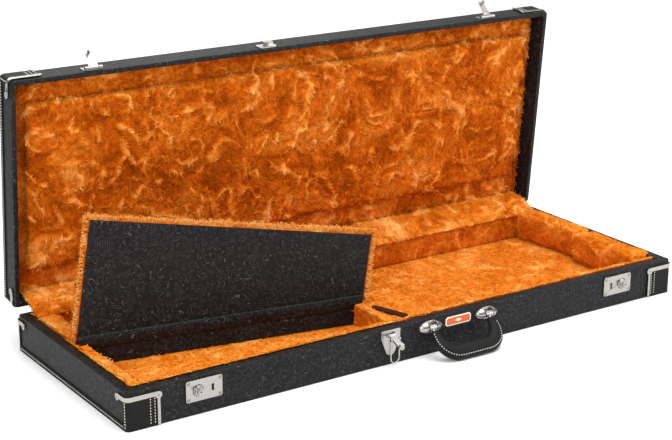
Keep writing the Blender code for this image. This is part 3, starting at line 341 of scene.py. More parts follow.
def tooled_vinyl(name, dark, pale, stroke_colour, roughness):
    """Calendered PVC on cloth: paler strokes on a dark satin ground."""
    material, tree, shader, place = new_material(name)
    bend = mottle(tree, place, FLOWER, Distortion=1.2)
    lines = calculate(tree, "PINGPONG", calculate(tree, "MULTIPLY", bend, STROKES_PER_BEND), 1.0)
    broken = mottle(tree, place, 1.6 * STROKE)
    mask = node(tree, "MapRange", Value=broken, From_Min=0.40, From_Max=0.56)
    thin = node(tree, "MapRange", Value=lines, From_Min=0.80, From_Max=0.97)
    strokes = calculate(tree, "MULTIPLY", thin, mask)
    cells = node(tree, "TexVoronoi", {"feature": "DISTANCE_TO_EDGE"}, Vector=place, Scale=1 / PETAL)
    petals = node(tree, "MapRange", Value=cells, From_Min=0.0, From_Max=0.16)
    raised = calculate(tree, "ADD", strokes, petals)
    # The grain between the strokes is what breaks up the highlight on a lit edge.
    fine = calculate(tree, "MULTIPLY_ADD", mottle(tree, place, GRAIN), 0.35, raised)
    ground = two_tone(tree, mottle(tree, place, CLOUD, 3.0), dark, pale)
    fill(tree, shader,
         Base_Color=node(tree, "MixRGB", i0=strokes, i1=ground, i2=linear(stroke_colour)),
         Roughness=node(tree, "MapRange", Value=strokes, To_Min=roughness, To_Max=roughness - 0.1),
         Normal=node(tree, "Bump", Height=fine, Strength=0.6, Distance=0.35 * MM),
         IOR=1.53, Specular_IOR_Level=0.17)
    return material


VINYL = tooled_vinyl("black_tooled_vinyl", "#0a0a0a", "#121111", "#504f4e", 0.5)
print("vinyl strokes every", STROKE / MM, "mm")

# %% [markdown]
# ## The shell of the base and of the lid
# Each half is an open tray. A wall's cross-section, with its rounded rim, is carried round the
# rounded rectangle of the plan, and a flat floor closes it. One continuous skin has no butt joints,
# just as the covering on a real case has none.

# %% Shell surface
CORNER = 6 * MM
RIM_ROUND = 1.4 * MM


def ring_points(inset, corner_steps=8):
    """Plan of the case, moved in by each inset.

    A quarter circle round each corner while the inset is smaller than the corner's radius, and a
    square corner once it is larger.
    """
    turn = np.linspace(0, math.pi / 2, corner_steps)
    angles = (turn[None, :] + np.arange(4)[:, None] * math.pi / 2).ravel()
    signs = np.repeat(np.array([[1, 1], [-1, 1], [-1, -1], [1, -1]]), corner_steps, axis=0)
    inset = np.asarray(inset, float)[:, None, None]
    centre = signs * (np.array([HALF_LENGTH, HALF_WIDTH]) - CORNER)
    direction = np.stack([np.cos(angles), np.sin(angles)], -1)
    radius = np.maximum(CORNER - inset, 0)
    return centre[None] + radius * direction[None] - np.maximum(inset - CORNER, 0) * signs[None]


def tray(name, wall, floor_z, rim_z, panel):
    """Closed tray: outside up, over the rounded rim, inside down, and a floor; z runs floor to rim."""
    up = math.copysign(1, rim_z - floor_z)
    bend = np.linspace(0, math.pi / 2, 5)
    starting = RIM_ROUND * (1 - np.cos(bend))
    ending = RIM_ROUND * (1 - np.sin(bend))
    outer = np.stack([starting, rim_z - up * ending], -1)
    inner = outer[::-1] * [-1, 1] + [wall, 0]
    foot = np.stack([ending, floor_z + up * starting], -1)
    profile = np.concatenate([foot, outer, inner, [[wall, floor_z + up * panel]]])
    plan = ring_points(profile[:, 0])
    heights = np.broadcast_to(profile[:, None, 1:], plan.shape[:2] + (1,))
    points = np.concatenate([plan, heights], -1)
    rings, around = points.shape[:2]
    faces = grid_faces(rings, around, loop_columns=True)
    under = np.arange(around)[None, :]
    inside = (np.arange(around) + (rings - 1) * around)[None, :]
    return make_mesh(name, points.reshape(-1, 3), faces, under, inside)


base_mesh = tray("base_shell", BASE_WALL, 0.0, BASE_TOP, floor_high[2])
lid_mesh = tray("lid_shell", LID_WALL, LID_TOP, LID_RIM, lid_panel_high[2] - lid_panel_low[2])
write_points(lid_mesh, lift(read_points(lid_mesh)))
base_walls, lid_walls = ([f"{half}_{wall}" for wall in ("front_wall", "rear_wall", "left_end", "right_end")]
                         for half in ("base", "lid"))
add_piece("base_shell", tidy_mesh(base_mesh), VINYL, "base", base_walls + ["base_floor_panel"])
add_piece("lid_shell", tidy_mesh(lid_mesh), VINYL, "lid", ["lid_panel"] + lid_walls)
print("shell points:", len(base_mesh.vertices), len(lid_mesh.vertices))

# %% [markdown]
# ## Crushed plush: the field
# The lining is long-pile plush, about 10 mm deep, that has been wetted and crushed, so its fibres
# lie in swirls. Three values make it at each point: a height, with narrow crests that wander over a
# soft ground, a combing direction, and a tone, which is pale on the crests and lumps and deep in the
# hollows: painted highlight and painted shade that follow the height. All come from smooth
# noise whose input is bent by more noise, which is what turns round blobs into swirls.

# %% Noise and the crushed field
CELLS = 48
CHANNELS = 6
LATTICE = np.random.default_rng(11).random((CHANNELS, CELLS, CELLS, CELLS)).astype(np.float32)
SWIRL = 62 * MM
FOLD = 27 * MM
LUMP = 9 * MM


def noise(points, size, channel):
    """Value noise from -1 to 1: random values on a cubic lattice of that size, blended smoothly."""
    scaled = points / size + 11.7 * channel
    low = np.floor(scaled).astype(int)
    part = scaled - low
    part = part * part * (3 - 2 * part)
    total = np.zeros(points.shape[:-1])
    for corner in range(8):
        step = np.array([corner >> 2 & 1, corner >> 1 & 1, corner & 1])
        index = (low + step) % CELLS
        weight = np.prod(np.where(step, part, 1 - part), axis=-1)
        total += weight * LATTICE[channel][index[..., 0], index[..., 1], index[..., 2]]
    return 2 * total - 1


def vector_noise(points, size, first):
    """Three channels of noise as the X, Y and Z of a vector."""
    return np.stack([noise(points, size, (first + k) % CHANNELS) for k in range(3)], -1)


def crushed(points):
    """Height from about 0 to 1, combing direction, and tone of the pile at each point.

    A crest stands where a bent noise crosses zero: 1 - 4.2 |noise|, cut off at 0 and broken up by a
    second noise. Broad patches of tone lie between the crests. The tone rises with crest and lump, as
    the height does, which is painted highlight on the raised pile and painted shade in its hollows.
    """
    bent = points + vector_noise(points, SWIRL, 0) * 0.5 * SWIRL
    bent = bent + vector_noise(bent, FOLD, 3) * 0.45 * FOLD
    crest = np.clip(1 - 4.2 * np.abs(noise(bent, FOLD, 1)), 0, 1)
    crest = crest * np.clip(0.45 + 1.7 * noise(points, 0.5 * FOLD, 4), 0, 1)
    lump = noise(bent, LUMP, 4)
    patch = noise(bent, 1.5 * FOLD, 2)
    height = 0.40 + 0.55 * crest + 0.2 * lump + 0.14 * patch
    comb = vector_noise(bent, 0.8 * FOLD, 2)
    # Painted highlight and painted shade: the tone rises with crest and lump as the height does; the patches and
    # the finest noise vary it at random.
    tone = 0.33 + 0.34 * patch + 0.62 * crest + 0.16 * lump + 0.2 * noise(bent, 0.5 * LUMP, 5)
    return height, comb, np.clip(tone, 0, 1)


sample = crushed(np.random.default_rng(1).random((2000, 3)))
for label, values in zip(("height", "tone"), sample[::2]):
    print(label, "mean and spread:", np.round([values.mean(), values.std()], 2))

# %% [markdown]
# ## Crushed plush: the locks of pile
# Fibres clump into small locks that lie along the combing. Each lock here is a thin three-sided
# spike that leaves the surface, bends over and ends in a tip: seven points, closed. Thousands of
# them share one mesh, flat-shaded, because smooth shading over such thin spikes gives black specks.
# Each takes its tone from the field, so the painted highlight of the crests stays under the pile,
# and its tip is paler than its root: painted light at the tip and painted shade at the root, with
# upward-facing locks painted paler still. Sizes vary by half, which is what keeps the pile from
# looking combed.

# %% Locks of pile
ROOT_DEPTH = 0.8 * MM
CALM_TONE = 0.4
# Painted light: pile that faces up is painted paler, as if lit from above.
PAINTED_TOP_LIGHT = 0.14


def calmed(tone, calm):
    """Tone drawn towards its middle value: all of it at calm 1, none of its spread at calm 0."""
    return 0.85 * (CALM_TONE + calm * (tone - CALM_TONE))


def surface_samples(mesh, count, generator):
    """Random points on a mesh, evenly by area, with the normal of their triangle."""
    mesh.calc_loop_triangles()
    triangles = np.empty(len(mesh.loop_triangles) * 3, np.int32)
    mesh.loop_triangles.foreach_get("vertices", triangles)
    a, b, c = read_points(mesh)[triangles.reshape(-1, 3)].swapaxes(0, 1)
    cross = np.cross(b - a, c - a)
    area = np.linalg.norm(cross, axis=1)
    total = np.cumsum(area)
    pick = np.searchsorted(total, generator.random(count) * total[-1])
    u, v = generator.random((2, count, 1))
    u, v = np.where(u + v > 1, 1 - u, u), np.where(u + v > 1, 1 - v, v)
    at = a[pick] + u * (b - a)[pick] + v * (c - a)[pick]
    return at, cross[pick] / area[pick][:, None]


def set_tone(mesh, values):
    """Stores the tone at each point, where the plush material reads it."""
    tone = mesh.attributes.new("tone", "FLOAT", "POINT")
    tone.data.foreach_set("value", np.asarray(values, np.float32).ravel())


def locks(name, mesh, spacing, length, body, seed, keep, stand=0.25, lift_tone=0.0, lay=None, calm=1.0):
    """Closed spikes of pile on a surface: root, bend and tip follow the combing direction.

    keep(points, normals) says where pile grows. stand is how far up the tips point. lay(points)
    gives a combing direction of its own, for a fringe. calm below 1 evens out the patches.
    """
    generator = np.random.default_rng(seed)
    area = sum(face.area for face in mesh.polygons)
    at, normal = surface_samples(mesh, int(area / spacing ** 2), generator)
    chosen = keep(at, normal)
    at, normal = at[chosen], normal[chosen]
    count = len(at)
    _, comb, tone = crushed(at)
    if lay is not None:
        comb = lay(at) + 0.3 * comb
    comb = comb + generator.normal(0, 0.10, (count, 3))
    along = comb - normal * np.sum(comb * normal, 1, keepdims=True)
    along /= np.linalg.norm(along, axis=1, keepdims=True) + 1e-9
    side = np.cross(normal, along)
    size = generator.uniform(0.65, 1.3, (count, 1))
    reach = length * size
    half = 0.15 * length * size * generator.uniform(0.8, 1.3, (count, 1))
    rise = reach * (stand + generator.uniform(-0.10, 0.16, (count, 1)))
    root = at - normal * ROOT_DEPTH
    middle = at + along * reach * 0.5 + normal * rise
    tip = at + along * reach + normal * rise * generator.uniform(0.4, 1.3, (count, 1))
    ring = [(-1.0, 0.0), (1.0, 0.0), (0.0, 0.9)]
    rows = [root + side * half * s + normal * half * n for s, n in ring]
    rows += [middle + side * half * 0.85 * s + normal * half * 0.8 * n for s, n in ring]
    points = np.stack(rows + [tip], 1)
    start = (np.arange(count) * points.shape[1])[:, None]
    quads = np.concatenate([start + np.array([k, (k + 1) % 3, 3 + (k + 1) % 3, 3 + k]) for k in range(3)])
    tips = [start + np.array([3 + k, 3 + (k + 1) % 3, 6]) for k in range(3)]
    ends = np.concatenate(tips + [start + np.array([0, 2, 1])])
    lock_mesh = make_mesh(name, points.reshape(-1, 3), quads, ends)
    # Painted shade at each lock's root, rising to painted light at its tip.
    shade = np.array([0.2, 0.2, 0.25, 0.5, 0.5, 0.55, 0.8])[None, :]
    own = calmed(tone[:, None], calm) + 0.16 * shade + lift_tone + generator.normal(0, 0.03, (count, 1))
    # Painted light from above on locks that face up.
    own = own + PAINTED_TOP_LIGHT * normal[:, 2:]
    set_tone(lock_mesh, np.clip(own, 0, 1))
    item = add_piece(name, lock_mesh, PLUSH, body, (), 0)
    lock_mesh.shade_flat()
    print(name, count, "locks")
    return item


def crush_surface(mesh, depth, lift_tone=0.0, calm=1.0):
    """Moves each point along its normal by the crushed height, and stores its tone, painted paler where the
    surface faces up.
    """
    points, normals = read_points(mesh), read_normals(mesh)
    height, _, tone = crushed(points)
    write_points(mesh, points + normals * (height[:, None] - 0.75) * depth)
    # Painted light from above: the tone rises where the surface faces up.
    set_tone(mesh, calmed(tone, calm) + 0.06 + lift_tone + PAINTED_TOP_LIGHT * normals[:, 2])
    return mesh


print("pile helpers ready")

# %% [markdown]
# ## Plush material
# Modacrylic pile is matt with a sheen at a glancing angle. Its colour is one dye, but crests look
# pale because light passes through them, and hollows look deep. The material reads each point's
# tone, which paints that light and shade into the colour: painted highlight on crests and painted
# shade in hollows. It adds tufts and fine fibres, drawn coarser than real ones so that they show.

# %% Plush material
FIBRE = 1.1 * MM
PILE_DEPTH = 5 * MM
TUFT = 6.5 * MM
CLOUDS = 45 * MM


def plush(name, deep, body_colour, mid, pale):
    """Pile whose colour follows its tone, with tufts and fibres of noise on top.

    The ramp's place is tone + 0.34 fibre + 0.7 tufts + 0.2 cloud - 0.62.
    """
    material, tree, shader, place = new_material(name)
    tone = node(tree, "Attribute", {"attribute_name": "tone"}).outputs["Fac"]
    fibre = mottle(tree, place, FIBRE, 3.0, Roughness=0.7)
    tufts = mottle(tree, place, TUFT, 3.0, Distortion=0.9)
    mixed = calculate(tree, "MULTIPLY_ADD", fibre, 0.34, tone)
    mixed = calculate(tree, "MULTIPLY_ADD", tufts, 0.7, mixed)
    mixed = calculate(tree, "MULTIPLY_ADD", mottle(tree, place, CLOUDS), 0.2, mixed)
    mixed = calculate(tree, "SUBTRACT", mixed, 0.62)
    coarse = node(tree, "Bump", Height=tufts, Strength=0.6, Distance=0.5 * TUFT)
    fill(tree, shader,
         Base_Color=ramp(tree, mixed, (0.05, deep), (0.34, body_colour), (0.60, mid), (0.95, pale)),
         Normal=node(tree, "Bump", Height=fibre, Strength=0.6, Distance=0.9 * MM, Normal=coarse),
         Roughness=0.85, IOR=1.45, Specular_IOR_Level=0.05,
         # Fibre ends catch light at a glancing angle, and light passes through the pile.
         Sheen_Weight=0.2, Sheen_Roughness=0.45, Sheen_Tint=linear("#ff9a30"),
         Subsurface_Weight=0.4, Subsurface_Radius=(1.0, 0.4, 0.12), Subsurface_Scale=PILE_DEPTH)
    return material


PLUSH = plush("orange_modacrylic_plush", "#963d02", "#c25a08", "#da7a22", "#f0a458")
print("plush fibre grain", FIBRE / MM, "mm")

# %% [markdown]
# ## Lid lining and its raised pad
# The lid's ceiling has a flat plush sheet, with a board-backed pad glued on it that holds the
# guitar down. Both are one kind of shape, a flat back and a face whose edges roll over: height
# falls off as a quarter circle within a roll's radius of the border. The sheet has a small roll and
# the pad a large one. The board keeps the pad flat, so it is shaped in code and not inflated.

# %% Lid lining
LID_PILE_LENGTH = 6.5 * MM


def cushion(name, quad, outward, depth, cell, roll, crown):
    """Closed pad on a flat four-cornered back; it stands proud by depth along outward.

    A point at shares s and t of the two sides is the bilinear mix of the corners. Its rise at
    distance d from the border is sqrt(1 - (1 - d / roll)^2) within the roll, plus a crown that is
    the product of two parabolas.
    """
    quad = np.array(quad, float)
    long_side = np.linalg.norm(quad[1] - quad[0])
    short_side = np.linalg.norm(quad[3] - quad[0])
    rows = int(long_side / cell) + 2
    columns = int(short_side / cell) + 2
    s, t = np.meshgrid(np.linspace(0, 1, rows), np.linspace(0, 1, columns), indexing="ij")
    a, b = s[..., None], t[..., None]
    back = (1 - a) * (1 - b) * quad[0] + a * (1 - b) * quad[1] + a * b * quad[2] + (1 - a) * b * quad[3]
    edge = np.minimum.reduce([s * long_side, (1 - s) * long_side, t * short_side, (1 - t) * short_side])
    lean = np.clip(1 - edge / roll, 0, 1)
    rise = (depth - crown) * np.sqrt(1 - lean ** 2) + crown * 16 * s * (1 - s) * t * (1 - t)
    face = back + rise[..., None] * np.array(outward)
    border = np.concatenate([np.arange(columns), np.arange(1, rows) * columns + columns - 1,
                             (rows - 1) * columns + np.arange(columns - 2, -1, -1),
                             np.arange(rows - 2, 0, -1) * columns])
    mesh = make_mesh(name, face.reshape(-1, 3), grid_faces(rows, columns), border[None, :])
    return tidy_mesh(mesh)


def hanging_pad(name, node_name, cell, roll, crown):
    """A pad on the lid's ceiling, built in the shut case, where down is inwards, then lifted."""
    low, high = shut_corners(node_name)
    plan = [(low[0], low[1]), (high[0], low[1]), (high[0], high[1]), (low[0], high[1])]
    mesh = cushion(name, [(x, y, high[2]) for x, y in plan], (0, 0, -1), high[2] - low[2], cell, roll, crown)
    return write_points(mesh, lift(read_points(mesh)))


def grows_up(points, normals):
    """Where the lid's pile grows: not on the flat backs, which face the panel."""
    return shut(points + normals * 0.01)[:, 2] < shut(points)[:, 2] + 0.004


# For each pad: its solid, then cell, roll, crown and crush depth in mm, and how full it is.
LID_PADS = {
    "lining": ("lid_lining", 3.5, 3, 0.5, 4, 0.3),
    "pad": ("lid_raised_pad", 2.6, 12, 1.5, 7, 0.7),
}
lid_meshes = {}
for name, (solid, cell, roll, crown, depth, fullness) in LID_PADS.items():
    pad_mesh = hanging_pad("lid_plush_" + name, solid, cell * MM, roll * MM, crown * MM)
    lid_meshes[name] = crush_surface(pad_mesh, depth * MM)
    pad = add_piece("lid_plush_" + name, pad_mesh, PLUSH, "lid", [solid], 0)
    print(pad.name, len(pad_mesh.vertices), "points")
for name, seed, spacing in (("lining", 21, 5 * MM), ("pad", 22, 4 * MM)):
    locks(f"lid_{name}_pile", lid_meshes[name], spacing, LID_PILE_LENGTH, "lid", seed, grows_up)

# %% [markdown]
# ## Bed and bolsters
# The base is filled with shaped blocks of foam under the same plush. The blocks at the ends and
# round the neck are stuffed, so their faces bulge and their corners pull in. That comes from a
# cloth simulation with pressure inside, in which a limit on how far a point may move keeps each
# block in its place. The long blocks are cut foam on board and stay nearly flat.

# %% Stuffing by cloth simulation
STUFFING = 3.0
SETTLING = 20


def copy_with(mesh, kind, **settings):
    """The mesh after one modifier of that kind, as a new mesh."""
    item = bpy.data.objects.new("work", mesh)
    bpy.context.scene.collection.objects.link(item)
    modifier = item.modifiers.new(kind, kind)
    for key, value in settings.items():
        setattr(modifier, key, value)
    bpy.context.view_layer.update()
    made = bpy.data.meshes.new_from_object(item.evaluated_get(bpy.context.evaluated_depsgraph_get()))
    bpy.data.objects.remove(item)
    return made


def stuffed(mesh, pressure, cap):
    """Blows a closed pad up as cloth with pressure inside, and limits how far any point moves."""
    item = bpy.data.objects.new("stuffing", mesh)
    bpy.context.scene.collection.objects.link(item)
    cloth = item.modifiers.new("Stuffing", "CLOTH")
    cloth.settings.quality = 4
    cloth.settings.mass = 0.3
    cloth.settings.use_pressure = True
    cloth.settings.uniform_pressure_force = pressure
    cloth.settings.effector_weights.gravity = 0
    cloth.settings.bending_stiffness = 0.5
    cloth.point_cache.frame_end = SETTLING
    for step in range(1, SETTLING + 1):
        bpy.context.scene.frame_set(step)
    blown = bpy.data.meshes.new_from_object(item.evaluated_get(bpy.context.evaluated_depsgraph_get()))
    bpy.data.objects.remove(item)
    bpy.context.scene.frame_set(1)
    rest = read_points(mesh)
    moved = read_points(blown) - rest
    far = np.linalg.norm(moved, axis=1, keepdims=True)
    write_points(mesh, rest + moved * np.minimum(1, cap / np.maximum(far, 1e-9)))
    return copy_with(mesh, "SUBSURF", levels=1, render_levels=1)


print("stuffing settles in", SETTLING, "frames")

# %% [markdown]
# ## From solid to plush block
# Each block starts from its solid, is remeshed into even cells, softened, stuffed or not, and
# crushed like the lid. Even cells matter because the crushing moves every point by a few
# millimetres. Blocks in the bed sink into it a little, so that no gap shows at their feet, and the
# plush of the outer blocks hangs over the rim of the shell, where a real one is glued down.

# %% Base padding
# Painted light: the bed's plush is painted a little paler, as light from above falls on it.
BED_PAINTED_LIGHT = 0.02
BED_CALM = 0.6
SINK = 3 * MM
LIP = 9 * MM
OVERHANG = 8 * MM
OVERHANG_FROM = 14 * MM
OVERHANG_FULL = 12 * MM
PILE_LENGTH = 6 * MM
TAB_ANGLE = math.radians(-67)
TAB_CLEAR = (38 * MM, 13 * MM)
TAB_CENTRE = sum(corners("pull_tab")) / 2


def soft_block(name, node_name, voxel, smooth, depth, shrink, rise=0, puff=0, lip=0):
    """A copy of a solid, remeshed to even cells, smoothed, stuffed, drawn in a little and crushed.

    rise stretches the block upwards from the bed, as an overstuffed bolster stands proud. puff is
    how far the stuffing may push a point; 0 leaves the block as cut foam. lip draws the outer
    margin up to the rim, where the plush is glued over the edge of the shell.
    """
    voxel *= 2 if puff else 1
    mesh = copy_with(node_copy(node_name), "REMESH", mode="VOXEL", voxel_size=voxel)
    mesh = copy_with(mesh, "SMOOTH", factor=0.5, iterations=smooth)
    if puff:
        mesh = stuffed(mesh, STUFFING, puff)
    mesh.name = name
    points = read_points(mesh) - read_normals(mesh) * shrink
    plan, z = points[:, :2], points[:, 2]
    foot, top = z.min(), z.max()
    z += rise * (z - foot) / (top - foot)
    if foot > floor_high[2] + 5 * MM:
        z -= SINK * np.clip(1 - (z - foot) / (3 * SINK), 0, 1)
    outside = np.abs(plan) - (np.array([HALF_LENGTH, HALF_WIDTH]) - BASE_WALL)
    margin = np.clip((outside + LIP) / (0.6 * LIP), 0, 1).max(1)
    z += lip * margin * np.clip((z - foot) / (top - foot), 0, 1)
    over = np.clip((z - BASE_TOP - 0.6 * MM) / (2 * MM), 0, 1) * OVERHANG
    near = np.clip((outside + OVERHANG_FROM) / OVERHANG_FULL, 0, 1)
    plan += np.sign(plan) * near * over[:, None]
    return crush_surface(write_points(mesh, points), depth, BED_PAINTED_LIGHT, BED_CALM)


def faces_up_or_in(points, normals):
    """Pile grows on what can be seen, and is brushed clear of the leather tab."""
    offset = points[:, :2] - TAB_CENTRE[:2]
    along = offset @ [math.cos(TAB_ANGLE), math.sin(TAB_ANGLE)]
    across = offset @ [-math.sin(TAB_ANGLE), math.cos(TAB_ANGLE)]
    on_tab = (np.abs(along) < TAB_CLEAR[0]) & (np.abs(across) < TAB_CLEAR[1])
    return (normals[:, 2] > -0.35) & (points[:, 2] > 12 * MM) & ~on_tab


# For each block: cell in mm, rounds of smoothing, then crush depth, shrink, rise, puff and lip in mm.
BLOCKS = {
    "bed_pad": (4, 1, 2.5, 0, 0, 0, 0),
    "rear_bolster": (3, 4, 3, 0, 0, 0, 0),
    "front_bolster": (3, 4, 2.5, 0, 4.5, 0, 0),
    "end_bolster_rear": (3, 2, 4, 1, 8, 3, 0),
    "end_bolster_front": (3, 2, 4, 1, 8, 3, 0),
    "neck_block": (3, 2, 3, 0.6, 0, 2, 0),
    "head_block": (3, 2, 3, 1, 7, 3, 0),
    "compartment_left_wall": (3, 4, 2.5, 0, 0, 0, 12),
    "compartment_right_wall": (3, 4, 2, 0, 0, 0, 0),
    "compartment_front_ledge": (3, 4, 2.5, 0, 0, 0, 12),
}
for seed, (solid, (cell, smooth, *sizes)) in enumerate(BLOCKS.items(), 40):
    block_mesh = soft_block(solid + "_plush", solid, cell * MM, smooth, *(size * MM for size in sizes))
    block = add_piece(block_mesh.name, block_mesh, PLUSH, "base", [solid], 0)
    locks(solid + "_pile", block_mesh, 4.4 * MM, PILE_LENGTH, "base", seed, faces_up_or_in,
          0.12, BED_PAINTED_LIGHT, calm=BED_CALM)
    print(block.name, len(block_mesh.vertices), "points")

# %% [markdown]
# ## The strip of plush over the hinge
# One strip of the lining runs from the lid's inner corner, over the gap at the hinge, to the
# padding behind the body. It is a profile carried along the case. It rides on neither half, so it
# stays where it is when the lid opens.

# %% Hinge strip
def smooth_path(points, count):
    """Catmull-Rom curve through the points, sampled at even parameter steps."""
    points = np.array(points, float)
    before, after = 2 * points[:1] - points[1:2], 2 * points[-1:] - points[-2:-1]
    longer = np.concatenate([before, points, after])
    place = np.linspace(0, len(points) - 1 - 1e-9, count)
    index = place.astype(int)
    t = (place - index)[:, None]
    p0, p1, p2, p3 = (longer[index + k] for k in range(4))
    return 0.5 * (2 * p1 + (p2 - p0) * t + (2 * p0 - 5 * p1 + 4 * p2 - p3) * t ** 2
                  + (3 * p1 - p0 - 3 * p2 + p3) * t ** 3)


def strip(name, profile, thickness, x_low, x_high, cell, count):
    """A sheet with rounded long edges: the profile in Y and Z, carried along X, offset both ways."""
    line = smooth_path(profile, count)
    tangent = np.gradient(line, axis=0)
    tangent /= np.linalg.norm(tangent, axis=1, keepdims=True)
    normal = np.stack([-tangent[:, 1], tangent[:, 0]], -1)
    share = np.linspace(0, 1, count)
    half = 0.5 * thickness * np.sqrt(np.clip(1 - (2 * share - 1) ** 6, 0.02, 1))[:, None]
    loop = np.concatenate([line + normal * half, (line - normal * half)[::-1]])
    along = np.linspace(x_low, x_high, int((x_high - x_low) / cell) + 2)
    points = np.empty((len(along), len(loop), 3))
    points[..., 0] = along[:, None]
    points[..., 1:] = loop[None]
    return tube(name, points)


def faces_up(points, normals):
    """Pile grows on the side that shows, not on the glued one."""
    return normals[:, 2] > -0.2


STRIP_LINE = [(0.1510, 0.0600), (0.1600, 0.0642), (0.1680, 0.0675), (0.1760, 0.0705), (0.1850, 0.0745),
              (0.1930, 0.0785), (0.2040, 0.0802), (0.2130, 0.0815), (0.2185, 0.0845)]
STRIP_HALF = HALF_LENGTH - BASE_WALL - 0.5 * MM
strip_mesh = strip("hinge_plush", STRIP_LINE, 3 * MM, -STRIP_HALF, STRIP_HALF, 3.5 * MM, 20)
strip_mesh = crush_surface(strip_mesh, 2.5 * MM)
hinge_plush = add_piece("hinge_plush", strip_mesh, PLUSH, None, (), 0)
hinge_pile = locks("hinge_pile", strip_mesh, 4.2 * MM, PILE_LENGTH, None, 61, faces_up, 0.14, 0.04)
for item in (hinge_plush, hinge_pile):
    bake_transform(item)
print("hinge strip", len(strip_mesh.vertices), "points")

# %% [markdown]
# ## The compartment's cover
# The pocket for straps and strings has its own lid: a board faced with the shell's vinyl and backed
# with plush, which wraps round its sides. The board keeps its solid's outline with rounded edges.
# The plush is a cushion on the same four corners, a little wider, so that it fringes the board.
# The fringe's locks point straight out, because crushed tufts would cross the face of the board.
# They are painted paler than the rest, a painted highlight where the edge catches the light.

# %% Compartment cover
FRINGE = 6.5 * MM
BACKING = 5.5 * MM


def board_corners(node_name):
    """The eight corners of a slab: left then right, low then high, front then back."""
    points = np.unique(np.round(read_points(frame["nodes"][node_name].data), 5), axis=0)
    middle = points.mean(0)
    return points[np.lexsort((points[:, 1], points[:, 2] > middle[2], points[:, 0] > middle[0]))]


eight = board_corners("compartment_lid_board")
quad = eight[[0, 4, 6, 2]]
board_thick = np.linalg.norm(eight[1] - eight[0])
through = (eight[1] - eight[0]) / board_thick
cover_along = np.array(JOINTS["compartment_hinge"]["axis"])
cover_up = np.cross(cover_along, -through)
cover_up *= math.copysign(1, cover_up[2])
board = add_piece("compartment_cover_board", node_copy("compartment_lid_board"), VINYL, "compartment_lid",
                  ["compartment_lid_board"])
bevel(board, 1.3 * MM, 3)
grown = quad + through * 1.2 * MM
grown = grown + np.array([-1, 1, 1, -1])[:, None] * cover_along * FRINGE
grown = grown + np.array([0, 0, 1, 1])[:, None] * cover_up * FRINGE
cover_mesh = cushion("compartment_cover_plush", grown, through, board_thick + BACKING,
                     2.8 * MM, 4 * MM, 0.5 * MM)
cover_mesh = crush_surface(cover_mesh, 2 * MM)
cover = add_piece("compartment_cover_plush", cover_mesh, PLUSH, "compartment_lid",
                  ["compartment_lid_plush"], 0)
cover_front = quad[0] @ through


def behind_board(points, normals):
    """Pile grows on the back and round the sides of the cover, not on the board's face."""
    return (points @ through > cover_front + 1.6 * MM) & (normals @ through > -0.5)


def beyond_board(points):
    """How far each point lies outside the board's nearest edge, and the way outwards from it."""
    centre = quad.mean(0)
    outward, reach = [], []
    for a, b in zip(quad, np.roll(quad, -1, axis=0)):
        edge_out = np.cross(b - a, through)
        edge_out *= math.copysign(1, edge_out @ (a - centre)) / np.linalg.norm(edge_out)
        outward.append(edge_out)
        reach.append((points - a) @ edge_out)
    reach = np.array(reach)
    return reach.max(0), np.array(outward)[reach.argmax(0)]


def outwards(points):
    """The fringe is brushed straight out from the board's edge."""
    return beyond_board(points)[1]


def round_board(points, normals):
    """The margin of plush that stands out round the board, above the fold."""
    return (beyond_board(points)[0] > 1 * MM) & (points[:, 2] > fold_height)


fold_height = JOINTS["compartment_hinge"]["pos_m"][2] + 4 * MM
# The fringe is painted paler by 0.5 of tone: a painted highlight on the cover's edge.
locks("compartment_cover_fringe", cover_mesh, 1.9 * MM, 5 * MM, "compartment_lid", 72, round_board,
      0.35, 0.5, outwards)
locks("compartment_cover_pile", cover_mesh, 3.4 * MM, PILE_LENGTH, "compartment_lid", 71, behind_board, 0.75)
print("cover corners:", np.round(quad, 3).tolist())

# %% [markdown]
# ## The fold under the cover
# The cover is hinged by its own vinyl, a limp strip glued to the board and to the pocket's rear
# wall. It bulges a little toward the front and turns smoothly from wall to board.

# %% Vinyl fold and rear wall
FOLD_ABOVE = 13 * MM
FOLD_BELOW = 9 * MM
FOLD_BULGE = 2.6 * MM
FOLD_GRID = (160, 13)
VERTICAL = np.array([0, 0, 1.0])
rear_wall = add_piece("compartment_wall", node_copy("compartment_rear_wall"), VINYL, "base",
                      ["compartment_rear_wall"])
bevel(rear_wall, 0.8 * MM)
fold_at = np.array(JOINTS["compartment_hinge"]["pos_m"])
fold_left = quad[0] + cover_along * 2 * MM
fold_right = quad[1] - cover_along * 2 * MM
s, t = np.meshgrid(*(np.linspace(0, 1, count) for count in FOLD_GRID), indexing="ij")
foot = fold_left + s[..., None] * (fold_right - fold_left)
foot = foot - through * ((foot - fold_at) @ through)[..., None]
height = -FOLD_BELOW + t * (FOLD_ABOVE + FOLD_BELOW)
bulge = FOLD_BULGE * np.sin(math.pi * t) ** 0.8 + 0.5 * MM
fold_points = foot + VERTICAL * height[..., None] - through * bulge[..., None]
fold_points = fold_points - VERTICAL * (foot[..., 2:] - fold_at[2])
fold_mesh = make_mesh("compartment_fold", fold_points.reshape(-1, 3), grid_faces(*FOLD_GRID))
fold = add_piece("compartment_fold", fold_mesh, VINYL, None, (), 0)
cloth = fold.modifiers.new("Cloth thickness", "SOLIDIFY")
cloth.thickness = 0.7 * MM
cloth.offset = 0
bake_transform(fold)

# %% [markdown]
# ## Leather, nickel and thread
# Three kinds of material for the fittings. Leather is a satin surface with a pebbled grain. Nickel
# plate is a smooth metal with faint polishing waves. Thread, enamel and the near-black painted shade
# of gaps and holes are matt.

